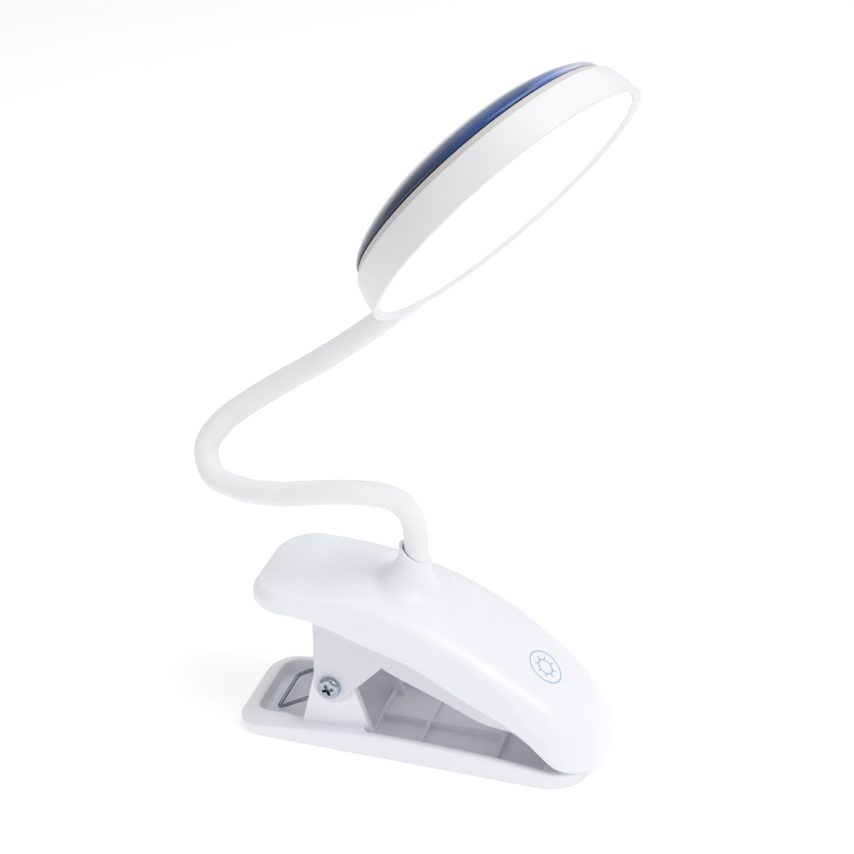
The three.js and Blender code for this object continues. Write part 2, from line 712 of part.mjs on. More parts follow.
function neckStretches() {
  const half = bendGap / 2 / neckLength;
  const limits = [0, ...bends, 1];
  return limits.slice(1).map((to, i) => new NeckStretch(
    limits[i] + (i > 0 ? half : 0),
    to - (i < bends.length ? half : 0),
  ));
}

function sleeveSection() {
  const section = new THREE.Shape();
  section.absarc(0, 0, neckRadius, 0, 2 * Math.PI);
  const hole = new THREE.Path();
  hole.absarc(0, 0, neckRadius - neckSleeveWall, 0, 2 * Math.PI, true);
  section.holes.push(hole);
  return section;
}

function neckPieces() {
  const pieces = [];
  neckStretches().forEach((stretch, i) => {
    const steps = Math.max(4, Math.round(((stretch.to - stretch.from) * neckLength) / 4));
    const sleevePath = new NeckStretch(
      i > 0 ? stretch.from : (coreDepth - anchorDepth) / neckLength,
      i < bends.length ? stretch.to : 1 - collarSeat / neckLength,
    );
    const sleeve = new THREE.ExtrudeGeometry(sleeveSection(), {
      steps, bevelEnabled: false, extrudePath: sleevePath, curveSegments: 7,
    });
    pieces.push(solidMesh(`neck_sleeve_${i + 1}`, toSolid(sleeve), silicone));
    pieces.push(solidMesh(`neck_core_${i + 1}`, wireAlong(stretch, steps, coreRadius, 10), springSteel));
  });
  return pieces;
}

// ---------------------------------------------------------------- head
// Local frame: +Z out of the lit face, +X outwards along the collar, z = 0 at the ring's front lip.
function ringOuterAt(z) {
  return headRadius + (ringTaper * z) / ringDepth;
}

function ringInnerAt(z) {
  return ringOuterAt(z) - ringWall;
}

const diffuserBack = -diffuserRecess - diffuserThickness;
const ledgeTop = diffuserBack - gap;
const ledgeBack = ledgeTop - ledgeThickness;
const frameFront = -ringDepth + frameRim;
const frameOuter = ringInnerAt(-ringDepth) - gap;
const headSides = 52;

function collarCutter() {
  return new THREE.CylinderGeometry(collarStem + gap, collarStem + gap, 12, 20)
    .rotateZ(Math.PI / 2)
    .translate(headRadius, 0, collarZ);
}

function headRing() {
  const lip = 0.6;
  const ring = turned([
    [ringInnerAt(-ringDepth), -ringDepth],
    [ringOuterAt(-ringDepth), -ringDepth],
    [ringOuterAt(-lip), -lip],
    [headRadius - lip, 0],
    [ringInnerAt(0), 0],
    [ringInnerAt(ledgeTop), ledgeTop],
    [ringInnerAt(ledgeTop) - ledgeDepth, ledgeTop],
    [ringInnerAt(ledgeTop) - ledgeDepth, ledgeBack],
    [ringInnerAt(ledgeBack), ledgeBack],
    [ringInnerAt(-ringDepth), -ringDepth],
  ], headSides);
  return solidMesh('head_ring', cut(ring, toSolid(collarCutter())), whiteAbs);
}

function diffuser() {
  return solidMesh('diffuser', turned([
    [0, diffuserBack],
    [ringInnerAt(diffuserBack) - gap, diffuserBack],
    [ringInnerAt(-diffuserRecess) - gap, -diffuserRecess],
    [0, -diffuserRecess],
  ], headSides), opalAcrylic);
}

const boardTop = frameFront + gap + ledBoardThickness;

function reflector() {
  const back = boardTop + gap;
  const front = ledgeBack - gap;
  const outer = ringInnerAt(front) - 1.6;
  const slant = 4;
  const wall = 0.8;
  return solidMesh('reflector', turned([
    [outer - slant, back],
    [outer, front],
    [outer - wall, front],
    [outer - slant - wall, back],
    [outer - slant, back],
  ], headSides), opalAcrylic);
}

function atHeadScrew(radius, angle, zLow, zHigh) {
  const x = headScrewRadius * Math.cos(angle);
  const y = headScrewRadius * Math.sin(angle);
  return rodZ(radius, x, y, zLow, zHigh, 12);
}

function ledBoard() {
  const board = rodZ(ledBoardRadius, 0, 0, frameFront + gap, boardTop, headSides);
  const holes = headScrewAngles.map((angle) => atHeadScrew(smallScrew.shank + gap, angle, -far, far));
  return solidMesh('led_board', cut(board, ...holes), opalAcrylic);
}

function rearFrame() {
  const stepRadius = ringOuterAt(-ringDepth) - stepInset;
  const floor = -ringDepth + 1;
  const rimTop = frameFront - 1.2;
  const frame = turned([
    [0, -ringDepth - 0.6],
    [stepRadius - 2, -ringDepth - stepDepth],
    [stepRadius, -ringDepth - stepDepth],
    [stepRadius, -ringDepth - gap],
    [frameOuter, -ringDepth - gap],
    [frameOuter, rimTop],
    [frameOuter - 2, rimTop],
    [frameOuter - 2, floor],
    [frameOuter - 6, floor],
    [frameOuter - 6, frameFront],
    [frameOuter - 8, frameFront],
    [frameOuter - 8, floor],
    [0, floor],
  ], headSides);
  const posts = headScrewAngles.map((angle) => atHeadScrew(postRadius, angle, -ringDepth, frameFront));
  const bore = smallScrew.shank + gap;
  const threads = headScrewAngles.map((angle) => atHeadScrew(bore, angle, -ringDepth + 0.4, 0));
  return solidMesh('rear_frame', cut(join(frame, ...posts), ...threads), innerAbs);
}

function headScrew(name, angle) {
  const seat = boardTop + 0.1;
  const tip = -ringDepth + 1;
  const top = seat + smallScrew.headHeight;
  const screw = turned([
    [0, tip], [smallScrew.shank, tip], [smallScrew.shank, seat],
    [smallScrew.head, seat], [smallScrew.head, top], [0, top],
  ], 12);
  const piece = solidMesh(name, screw, zincSteel);
  piece.position.set(headScrewRadius * Math.cos(angle), headScrewRadius * Math.sin(angle), 0);
  return piece;
}

// The blue ring and the white cap share one dome, which rises from the rim to the middle.
const coverRimZ = -ringDepth - stepDepth - gap;
const coverRimRadius = ringOuterAt(-ringDepth) - coverInset;

function domePoints(from, to, inset, steps) {
  const points = [];
  for (let i = 0; i <= steps; i += 1) {
    const angle = from + ((to - from) * i) / steps;
    points.push([
      Math.max(0, (coverRimRadius - inset) * Math.cos(angle)),
      coverRimZ - coverStraight - (domeRise - inset) * Math.sin(angle) ** domeFullness,
    ]);
  }
  return points;
}

const capAngle = Math.acos(capRadius / coverRimRadius);

function rearCover() {
  const outside = domePoints(0, capAngle, 0, 3).reverse();
  const inside = domePoints(0, capAngle, domeWall, 3);
  return solidMesh('rear_cover', turned([
    [coverRimRadius, coverRimZ],
    [coverRimRadius - domeWall, coverRimZ],
    ...inside,
    ...outside,
    [coverRimRadius, coverRimZ],
  ], headSides), blueAcrylic);
}

function rearCap() {
  const start = capAngle + (gap * 1.3) / coverRimRadius;
  const outside = domePoints(start, Math.PI / 2, 0, 5);
  const inside = domePoints(start, Math.PI / 2, domeWall, 5);
  return solidMesh('rear_cap', turned([...outside.reverse(), ...inside], headSides), whiteAbs);
}

function ledChip(name, angle) {
  const chip = mesh(name, toGeometry(centredBlock(ledLength, ledWidth, ledHeight)), ledYellow);
  const height = boardTop + gap / 2 + ledHeight / 2;
  chip.position.set(ledRingRadius * Math.cos(angle), ledRingRadius * Math.sin(angle), height);
  chip.rotation.z = angle;
  return chip;
}

function headCollar() {
  const root = ringInnerAt(0) + gap;
  const shoulder = headRadius + gap + 0.4;
  const end = headRadius + collarReach;
  const solid = turned([
    [0, root], [collarStem, root], [collarStem, shoulder],
    [collarRadius, shoulder], [collarRadius - 0.2, end], [0, end],
  ], 24);
  const sleeveBore = rodZ(neckRadius + gap, 0, 0, headRadius + collarSeat, far);
  const coreBore = rodZ(coreRadius + gap, 0, 0, 0, far, 20);
  const collar = cut(solid, sleeveBore, coreBore);
  const piece = solidMesh('head_collar', collar, whiteAbs);
  piece.rotation.y = Math.PI / 2;
  piece.position.z = collarZ;
  return piece;
}

function head() {
  const group = new THREE.Group();
  const inwards = neckLine.getTangentAt(1);
  const faceHint = new THREE.Vector3(0.74, -0.26, -0.62);
  const xAxis = inwards.clone().negate();
  const zAxis = faceHint.clone().addScaledVector(xAxis, -faceHint.dot(xAxis)).normalize();
  const yAxis = zAxis.clone().cross(xAxis);
  group.quaternion.setFromRotationMatrix(new THREE.Matrix4().makeBasis(xAxis, yAxis, zAxis));
  const neckEnd = new THREE.Vector3(headRadius + gap, 0, collarZ).applyQuaternion(group.quaternion);
  group.position.copy(neckLine.getPointAt(1)).sub(neckEnd);
  group.add(
    headRing(),
    diffuser(),
    reflector(),
    ledBoard(),
    rearFrame(),
    rearCover(),
    rearCap(),
    headCollar(),
  );
  for (let i = 0; i < ledCount; i += 1) {
    group.add(ledChip(`led_${i + 1}`, ((i + 0.5) * 2 * Math.PI) / ledCount));
  }
  headScrewAngles.forEach((angle, i) => group.add(headScrew(`head_screw_${i + 1}`, angle)));
  return group;
}

// ---------------------------------------------------------------- assembly
const lamp = new THREE.Group();
lamp.add(
  lowerJaw(),
  lowerGripPad(),
  pivotTube(),
  pivotScrew('pivot_screw_left', -1),
  pivotScrew('pivot_screw_right', 1),
  clipSpring(),
  upperShellMesh(),
  underCover(),
  upperGripPad(),
  springArm('spring_arm_left', -1),
  springArm('spring_arm_right', 1),
  touchPlate(),
  electronics(),
  neckNut(),
  ...screwPosts.map(([x, y], i) => coverScrew(`cover_screw_${i + 1}`, x, y)),
  ...neckPieces(),
  head(),
);

export default lamp;
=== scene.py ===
"""Clip-on reading lamp: a sprung two-jaw clip, a bendable silicone neck and a round lit head.

Lengths are millimetres until a mesh is made, and the mesh is in metres.
+X runs from the finger pad to the jaw tips, +Z is up, and +Y is the side with the charging socket.
"""

import json
import math

import bpy
import numpy as np
from bpy.props import FloatProperty, FloatVectorProperty, IntProperty, PointerProperty
from mathutils import Euler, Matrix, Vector


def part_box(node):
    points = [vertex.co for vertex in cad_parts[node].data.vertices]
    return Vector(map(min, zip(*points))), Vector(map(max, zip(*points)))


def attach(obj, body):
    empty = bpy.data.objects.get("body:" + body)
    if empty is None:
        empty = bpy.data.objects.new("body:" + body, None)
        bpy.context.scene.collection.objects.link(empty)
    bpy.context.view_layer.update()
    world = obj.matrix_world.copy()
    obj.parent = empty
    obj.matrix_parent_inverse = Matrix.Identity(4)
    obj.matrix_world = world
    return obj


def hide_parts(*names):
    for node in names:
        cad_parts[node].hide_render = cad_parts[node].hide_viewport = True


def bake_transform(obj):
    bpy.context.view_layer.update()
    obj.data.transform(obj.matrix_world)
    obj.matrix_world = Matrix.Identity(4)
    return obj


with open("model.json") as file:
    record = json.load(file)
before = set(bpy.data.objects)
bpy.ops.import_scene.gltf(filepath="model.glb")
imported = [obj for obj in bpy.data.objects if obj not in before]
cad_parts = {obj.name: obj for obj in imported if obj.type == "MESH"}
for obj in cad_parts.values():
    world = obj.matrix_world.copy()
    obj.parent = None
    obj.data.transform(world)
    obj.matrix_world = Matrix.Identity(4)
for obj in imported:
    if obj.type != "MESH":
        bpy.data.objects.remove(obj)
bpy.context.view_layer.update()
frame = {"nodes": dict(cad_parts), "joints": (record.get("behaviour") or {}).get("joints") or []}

bl_info = {
    "name": "Clip-on reading lamp",
    "version": (1, 0, 0),
    "blender": (4, 5, 0),
    "location": "View3D > Sidebar > Lamp",
    "description": "Makes the visible shells, neck, head and finishes of a clip-on reading lamp",
    "category": "Add Mesh",
}

MM = 0.001
GAP = 0.3  # clearance between pieces that sit in each other


# ---------------------------------------------------------------- places taken from the frame
def corners(node):
    """Lowest and highest corner of a CAD node, in millimetres."""
    low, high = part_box(node)
    return np.array(low) / MM, np.array(high) / MM


def joint_place(name):
    """Pivot point in millimetres and unit axis of a joint."""
    joint = next(j for j in frame["joints"] if j["name"] == name)
    axis = np.array(joint["axis"], float)
    return np.array(joint["pos_m"], float) / MM, axis / np.linalg.norm(axis)


SHELL_LOW, SHELL_HIGH = corners("upper_shell")
JAW_LOW, JAW_HIGH = corners("lower_jaw")
COVER_LOW, COVER_HIGH = corners("under_cover")
SLEEVE_LOW, SLEEVE_HIGH = corners("neck_sleeve_1")
NECK_X = (SLEEVE_LOW[0] + SLEEVE_HIGH[0]) / 2
SOCKET_MOUTH_Z = SHELL_HIGH[2]
NOSE_Z = SHELL_LOW[2]
REACH_REAR = NECK_X - SHELL_LOW[0]
REACH_FRONT = SHELL_HIGH[0] - NECK_X
NOSE_X = NECK_X + REACH_FRONT
LEVER_HALF = SHELL_HIGH[1]
PIVOT = joint_place("jaw_hinge")[0]
PIVOT_BORE = 2.0
MARK_X = sum(corners("touch_plate"))[0] / 2 - 0.5  # centre of the printed mark


# ---------------------------------------------------------------- sizes and colours a user may change
def millimetres(name, description, default):
    return FloatProperty(name=name, description=description, default=default, min=0.01, unit="NONE")


def colour(name, description, value):
    return FloatVectorProperty(
        name=name, description=description, default=linear(value), size=3, min=0, max=1, subtype="COLOR",
    )


def linear(value):
    """Linear red, green and blue of an sRGB hex colour such as "F1F1F6"."""
    s = np.array([int(value[i:i + 2], 16) for i in (0, 2, 4)]) / 255
    return tuple(np.where(s <= 0.04045, s / 12.92, ((s + 0.055) / 1.055) ** 2.4))


class LampClipSizes(bpy.types.PropertyGroup):
    crest_height: millimetres("Crest height", "Side edge of the lever at its highest, mm", 51.6)
    crown: millimetres("Crown", "Rise of the lever's middle over its side edges, mm", 4.5)
    crown_depth: millimetres("Crown depth", "Width over which the lever's top rolls over, mm", 8.5)
    shell_wall: millimetres("Shell wall", "Wall of the lever's outer shell, mm", 1.9)
    cover_wall: millimetres("Cover wall", "Wall of the under cover, mm", 1.6)
    jaw_wall: millimetres("Jaw wall", "Wall of the lower jaw, mm", 1.8)
    jaw_floor: millimetres("Jaw floor", "Thickness of the lower jaw's floor, mm", 1.4)
    jaw_rim: millimetres("Jaw rim", "Height of the lower jaw's rim beside its ribs, mm", 8.6)
    ear_thickness: millimetres("Lower ear thickness", "Thickness of the lower jaw's ears, mm", 2.8)
    boss_height: millimetres("Boss height", "Neck socket's mouth above the lever, mm", 12.0)
    boss_lean: FloatProperty(name="Boss lean", description="Forward fall of the socket's mouth", default=0.6)
    skirt_drop: millimetres("Skirt drop", "How much lower the lever's edge hangs round the nose, mm", 2.2)
    wire: millimetres("Spring wire", "Radius of the spring wire, mm", 0.62)


class LampHeadSizes(bpy.types.PropertyGroup):
    radius: millimetres("Head radius", "Outer radius of the head's ring, mm", 47.5)
    ring_depth: millimetres("Ring depth", "Depth of the head's ring, mm", 10.2)
    ring_taper: millimetres("Ring taper", "How much smaller the ring's rear edge is than its lip, mm", 2.65)
    ring_wall: millimetres("Ring wall", "Thickness of the head's ring, mm", 2.2)
    cap_inset: millimetres("Cap inset", "White cap's edge inside the ring's outer radius, mm", 11.2)
    dome_rise: millimetres("Dome rise", "Rise of the domed back from its rim, mm", 10.0)
    facets: IntProperty(name="Facets", description="Steps round the head", default=192, min=24, max=720)


class LampNeckSizes(bpy.types.PropertyGroup):
    radius: millimetres("Neck radius", "Outer radius of the silicone sleeve, mm", 3.7)
    wall: millimetres("Sleeve wall", "Wall of the silicone sleeve, mm", 1.1)
    facets: IntProperty(name="Facets", description="Steps round the neck", default=40, min=12, max=128)


class LampColours(bpy.types.PropertyGroup):
    # The faint lavender cast of the shell and inner whites is painted shade: it stands in for the cool tint
    # of the light in shade. The rest is the plastic's own white.
    shell: colour("Shell", "Moulded white of the shells", "F3F4F9")
    inner: colour("Inner parts", "Moulded white of the under cover and the lower jaw", "F5F4FA")
    sleeve: colour("Sleeve", "White silicone of the neck", "F4F3F5")
    # The grip's pinkish grey is partly the rubber's own tone and partly painted shade from the lever's
    # overhang.
    grip: colour("Grip strips", "Pale rubber of the jaw tips", "DDD6DE")
    # The rear cover's tints below are painted light and shade. Navy is painted shade, lavender is painted
    # light and pale is a painted reflection of the white room at the far rim; only royal is the cover's own
    # blue.
    shaded_navy: colour("Cover, deep end", "Tint of the rear cover where it is deepest", "1A2B4C")
    royal: colour("Cover, middle", "Tint of the rear cover in the middle", "174688")
    lit_lavender: colour("Cover, pale end", "Tint of the rear cover where light leaks in", "5F7FC2")
    pale: colour("Cover, far rim", "Tint of the rear cover at its far rim", "C9CFE6")
    mark: colour("Printed mark", "Pale blue ink of the sun mark", "98B7DC")


def sizes(group):
    """The scene's own settings of a group, such as lamp_clip."""
    return getattr(bpy.context.scene, group)


# ---------------------------------------------------------------- curves
def smooth_step(x, low, high):
    """0 below low, 1 above high and three t squared minus two t cubed between."""
    t = np.clip((x - low) / (high - low), 0, 1)
    return t * t * (3 - 2 * t)


def catmull_rom(points, samples, power):
    """Points on the Catmull-Rom curve through the given points, which are each a row.

    Knot spacing is the chord length to the given power: 0 is uniform and 0.5 is centripetal. Each span is
    the cubic Hermite curve whose end slopes come from the neighbouring chords divided by their spacings.
    """
    p = np.asarray(points, float)
    p = np.vstack([2 * p[0] - p[1], p, 2 * p[-1] - p[-2]])
    step = np.maximum(np.linalg.norm(np.diff(p, axis=0), axis=1), 1e-9) ** power
    p0, p1, p2, p3 = p[:-3], p[1:-2], p[2:-1], p[3:]
    a, b, c = step[:-2, None], step[1:-1, None], step[2:, None]
    m1 = ((p1 - p0) / a - (p2 - p0) / (a + b) + (p2 - p1) / b) * b
    m2 = ((p2 - p1) / b - (p3 - p1) / (b + c) + (p3 - p2) / c) * b
    t = (np.arange(samples) / samples)[None, :, None]
    span = (
        (2 * t**3 - 3 * t**2 + 1) * p1[:, None] + (t**3 - 2 * t**2 + t) * m1[:, None]
        + (3 * t**2 - 2 * t**3) * p2[:, None] + (t**3 - t**2) * m2[:, None]
    )
    return np.vstack([span.reshape(-1, p.shape[1]), p[-2]])


def by_length(path, spacing, start=0.0, end=None):
    """The path resampled at equal lengths from start to end along it, linear between its points."""
    at = np.concatenate([[0], np.cumsum(np.linalg.norm(np.diff(path, axis=0), axis=1))])
    end = at[-1] if end is None else end
    wanted = np.linspace(start, end, max(3, int(round((end - start) / spacing)) + 1))
    return np.stack([np.interp(wanted, at, path[:, k]) for k in range(path.shape[1])], 1)


# Side outlines of the upper jaw: [share of the reach from the neck, share of the height from nose to crest].
TOP_EDGE = [
    [-1, 0.975], [-0.73, 1], [-0.42, 0.984], [-0.104, 0.925], [0.164, 0.823], [0.41, 0.66],
    [0.656, 0.43], [0.82, 0.245], [0.934, 0.1], [1, 0],
]
BAND_EDGE = [
    [-1, 0.9], [-0.87, 0.895], [-0.52, 0.862], [-0.21, 0.755], [0.079, 0.646], [0.32, 0.465],
    [0.6, 0.27], [0.79, 0.075], [0.92, 0.03], [1, 0],
]
COVER_EDGE = [
    [-0.55, 0.8], [-0.36, 0.76], [-0.2, 0.67], [-0.11, 0.562], [0.013, 0.492], [0.213, 0.379],
    [0.4, 0.263], [0.5, 0.234], [0.585, 0.211], [0.775, 0.04], [0.95, 0.035],
]


def outline_height(shares, x):
    """Height of a side outline over x: the uniform Catmull-Rom curve through its shares."""
    clip = sizes("lamp_clip")
    shares = np.array(shares)
    reach = np.where(shares[:, 0] < 0, REACH_REAR, REACH_FRONT)
    height = NOSE_Z + shares[:, 1] * (clip.crest_height - NOSE_Z)
    curve = catmull_rom(np.stack([NECK_X + shares[:, 0] * reach, height], 1), 16, 0)
    return np.interp(x, curve[:, 0], curve[:, 1])


DIVE_START, DIVE_END = 33, 8  # where the crease dives, measured back from the nose
NOSE_BAND = 2.2  # height of the side band at the nose
PAD_START, PAD_END = 32, 5  # where the finger pad turns into the crowned lever, back from the neck
PAD_CROWN = 1.8  # rise of the pad's middle over its side edges
PAD_DISH = 0.5  # depth of the shallow dish for the finger
PAD_EDGE_DROP = 1.1  # how far the pad's side edges hang below the crease
PAD_ROLL = 0.35  # share of the crown depth over which the pad's edge rolls over
ROLL_POWERS = (2.3, 0.75)  # shape of the roll from the crown down to the crease


def edge_height(x):
    """Height of the crease between the lever's top and its side band.

    It is the top edge up to the front third, then dives towards the band's lower edge at the nose.
    """
    dive = smooth_step(x, NOSE_X - DIVE_START, NOSE_X - DIVE_END)
    low = outline_height(BAND_EDGE, x) + NOSE_BAND
    top = outline_height(TOP_EDGE, x)
    return top + (np.minimum(low, top) - top) * dive


def lever_top(x, y, inset):
    """Height of the lever's top surface.

    The middle is the top edge plus the crown, which sinks to a shallow dish over the finger pad. Towards the
    plan's edge it falls to the crease: one minus a power of the share of the roll left to go, to a power.
    """
    clip = sizes("lamp_clip")
    pad = smooth_step(x, NECK_X - PAD_START, NECK_X - PAD_END)
    middle = outline_height(TOP_EDGE, x) + PAD_CROWN + (clip.crown - PAD_CROWN) * pad
    middle = middle - PAD_DISH * (1 - pad) * np.exp(-((x - NECK_X + 30) / 9) ** 2) * np.cos(y / 14)
    low = edge_height(x) - PAD_EDGE_DROP * (1 - pad)
    depth = clip.crown_depth * (PAD_ROLL + (1 - PAD_ROLL) * pad)
    share = np.clip(inset / depth, 0, 1)
    inner_power, outer_power = ROLL_POWERS
    return low + (middle - low) * (1 - (1 - share) ** inner_power) ** outer_power


# ---------------------------------------------------------------- surfaces
SIDE_STEPS = 84
CORNER_STEPS = 18
END_STEPS = 12


def plan_ring(rear, front, half, rear_corner, front_corner):
    """A rounded rectangle in plan as one ring of points: straight stretches and quarter circles in turn.

    Every ring has the same steps on each stretch, so rings of different sizes match point by point.
    """
    def arc(cx, cy, radius, start):
        a = start + np.linspace(0, np.pi / 2, CORNER_STEPS, endpoint=False)
        return np.stack([cx + radius * np.cos(a), cy + radius * np.sin(a)], 1)

    def line(x0, y0, x1, y1, steps):
        t = np.linspace(0, 1, steps, endpoint=False)[:, None]
        return np.array([[x0, y0]]) * (1 - t) + np.array([[x1, y1]]) * t

    a, b, r, f = rear + rear_corner, front - front_corner, rear_corner, front_corner
    return np.vstack([
        line(a, -half, b, -half, SIDE_STEPS),
        arc(b, -half + f, f, -np.pi / 2),
        line(front, -half + f, front, half - f, END_STEPS),
        arc(b, half - f, f, 0),
        line(b, half, a, half, SIDE_STEPS),
        arc(a, half - r, r, np.pi / 2),
        line(rear, half - r, rear, -half + r, END_STEPS),
        arc(a, -half + r, r, np.pi),
    ])


def spine_ring(ring, half):
    """The ring drawn in to a line along its middle, held back from both ends by the half width."""
    low, high = ring[:, 0].min() + half, ring[:, 0].max() - half
    share = (ring[:, 0] - ring[:, 0].min()) / np.ptp(ring[:, 0])
    return np.stack([np.clip(low + (high - low) * share, low, high), 0 * share], 1)


def lift(ring, heights):
    return np.column_stack([ring, np.broadcast_to(heights, len(ring))])


def grid(points, wrap_rows=False, caps=False):
    """Vertices and faces of a grid of points whose columns wrap round.

    Rows wrap too for a ring-shaped body. Caps close the first and last row with one flat face each.
    """
    rows, columns = points.shape[:2]
    index = np.arange(rows * columns).reshape(rows, columns)
    down = np.roll(index, -1, 0) if wrap_rows else index[1:]
    up = index if wrap_rows else index[:-1]
    faces = np.stack([up, np.roll(up, -1, 1), np.roll(down, -1, 1), down], -1).reshape(-1, 4).tolist()
    if caps:
        faces += [index[0][::-1].tolist(), index[-1].tolist()]
    return points.reshape(-1, 3), faces


def merged(parts):
    """Several (vertices, faces) as one, without joining them."""
    vertices, faces, start = [], [], 0
    for points, polygons in parts:
        vertices.append(points)
        faces += [[i + start for i in polygon] for polygon in polygons]
        start += len(points)
    return np.vstack(vertices), faces


def new_mesh(name, part):
    """An object from vertices in millimetres and faces, doubles merged and faces turned outwards."""
    import bmesh
    vertices, faces = part
    data = bpy.data.meshes.new(name)
    data.from_pydata((vertices * MM).tolist(), [], faces)
    shape = bmesh.new()
    shape.from_mesh(data)
    bmesh.ops.remove_doubles(shape, verts=shape.verts, dist=2e-6)
    bmesh.ops.dissolve_degenerate(shape, edges=shape.edges, dist=1e-7)
    bmesh.ops.recalc_face_normals(shape, faces=shape.faces)
    shape.to_mesh(data)
    shape.free()
    made = bpy.data.objects.new(name, data)
    bpy.context.scene.collection.objects.link(made)
    return made


def apply_modifiers(made):
    """Puts the evaluated mesh in place of the object's own and takes the modifiers off."""
    bpy.context.view_layer.update()
    evaluated = made.evaluated_get(bpy.context.evaluated_depsgraph_get())
    data = bpy.data.meshes.new_from_object(evaluated)
    made.modifiers.clear()
    made.data = data
    data.name = made.name


def combine(made, parts, operation):
    """Unites the object with each part, or cuts each part out of it."""
    tools = []
    for i, part in enumerate(parts):
        tool = new_mesh(f"tool_{i}", part)
        step = made.modifiers.new(f"step_{i}", "BOOLEAN")
        step.operation = operation
        step.solver = "MANIFOLD"
        step.object = tool
        tools.append(tool)
    apply_modifiers(made)
    for tool in tools:
        bpy.data.objects.remove(tool)
    if not made.data.polygons:
        raise RuntimeError(f"{made.name} lost its mesh in a {operation.lower()}")


def finish_piece(made, material, body, slot, *nodes, sharp=32):
    """Smooth shading with creases over the sharp angle, finish, body and the nodes it stands for; the slot is
    not used.
    """
    made.data.shade_smooth()
    made.data.set_sharp_from_angle(angle=math.radians(sharp))
    made.data.materials.clear()
    made.data.materials.append(finish(material))
    if body:
        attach(made, body)
    if nodes:
        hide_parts(*nodes)
    return made


def slab(outline, low, high, fillet, place, steps=4):
    """A plate of a closed outline with rounded edges.

    The fillet is a quarter circle: at each angle the outline is drawn in by the radius times one minus its
    sine, and the height is the radius times one minus its cosine. place turns (u, v, height) into points.
    """
    ahead, behind = np.roll(outline, -1, 0), np.roll(outline, 1, 0)
    along = ahead - behind
    along = along / np.maximum(np.linalg.norm(along, axis=1, keepdims=True), 1e-9)
    area = np.sum(outline[:, 0] * ahead[:, 1] - ahead[:, 0] * outline[:, 1])
    inward = np.stack([-along[:, 1], along[:, 0]], 1) * np.sign(area)
    a = np.linspace(0, np.pi / 2, steps + 1)
    inset, rise = fillet * (1 - np.sin(a)), fillet * (1 - np.cos(a))
    inset = np.concatenate([inset, inset[::-1]])
    height = np.concatenate([low + rise, high - rise[::-1]])
    rings = outline[None] + inward[None] * inset[:, None, None]
    flat = np.concatenate([rings, np.broadcast_to(height[:, None, None], rings.shape[:2] + (1,))], 2)
    return grid(place(flat), caps=True)


def side_place(points):
    """An outline in (x, z) with its thickness along y."""
    return points[..., [0, 2, 1]]


def plan_place(points):
    """An outline in (x, y) with its thickness along z."""
    return points


def rounded_polygon(points, radii, steps=6):
    """A closed polygon with each corner replaced by a quadratic curve cut back by its own radius."""
    p = np.asarray(points, float)
    r = np.asarray(radii, float)[:, None]
    before, after = np.roll(p, 1, 0) - p, np.roll(p, -1, 0) - p
    start = p + before / np.linalg.norm(before, axis=1, keepdims=True) * r
    end = p + after / np.linalg.norm(after, axis=1, keepdims=True) * r
    t = np.linspace(0, 1, steps)[None, :, None]
    curve = (1 - t) ** 2 * start[:, None] + 2 * t * (1 - t) * p[:, None] + t**2 * end[:, None]
    return dense(curve.reshape(-1, 2), 1.5)


def dense(outline, spacing):
    """A closed outline with extra points so that no stretch is much longer than the spacing."""
    closed = np.vstack([outline, outline[:1]])
    length = np.linalg.norm(np.diff(closed, axis=0), axis=1)
    counts = np.maximum(1, np.ceil(length / spacing)).astype(int)
    start = np.repeat(np.arange(len(outline)), counts)
    share = np.concatenate([np.arange(n) / n for n in counts])[:, None]
    return closed[start] * (1 - share) + closed[start + 1] * share


def turned(profile, origin, axes, steps):
    """A body turned about the third axis: radius times the cosine and sine of the turn, and the height.

    A profile that starts and ends on the axis closes at its poles; any other profile closes on itself.
    """
    profile = np.asarray(profile, float)
    x_axis, y_axis, z_axis = (np.asarray(a, float) for a in axes)
    turn = np.linspace(0, 2 * np.pi, steps, endpoint=False)
    radial = np.cos(turn)[:, None] * x_axis + np.sin(turn)[:, None] * y_axis
    points = (
        np.asarray(origin, float) + profile[:, 0, None, None] * radial[None]
        + profile[:, 1, None, None] * z_axis
    )
    poles = abs(profile[0, 0]) < 1e-6 and abs(profile[-1, 0]) < 1e-6
    return grid(points, wrap_rows=not poles)


def eased(profile, radius, steps=4):
    """A turned profile with each corner off the axis rounded by a quadratic curve of the given radius."""
    p = np.asarray(profile, float)
    rows = [p[:1]]
    for before, corner, after in zip(p[:-2], p[1:-1], p[2:]):
        cut = min(radius, 0.45 * np.linalg.norm(before - corner), 0.45 * np.linalg.norm(after - corner))
        start = corner + (before - corner) / np.linalg.norm(before - corner) * cut
        end = corner + (after - corner) / np.linalg.norm(after - corner) * cut
        t = np.linspace(0, 1, steps)[:, None]
        rows.append((1 - t) ** 2 * start + 2 * t * (1 - t) * corner + t**2 * end)
    rows.append(p[-1:])
    return np.vstack(rows)


def eased_loop(profile, radius, steps=4):
    """The same rounding for a profile that closes on itself."""
    p = np.asarray(profile, float)
    return eased(np.vstack([p[-1:], p, p[:1]]), radius, steps)[1:-1]


X_AXIS, Y_AXIS, Z_AXIS = np.eye(3)
UPRIGHT = (X_AXIS, Y_AXIS, Z_AXIS)


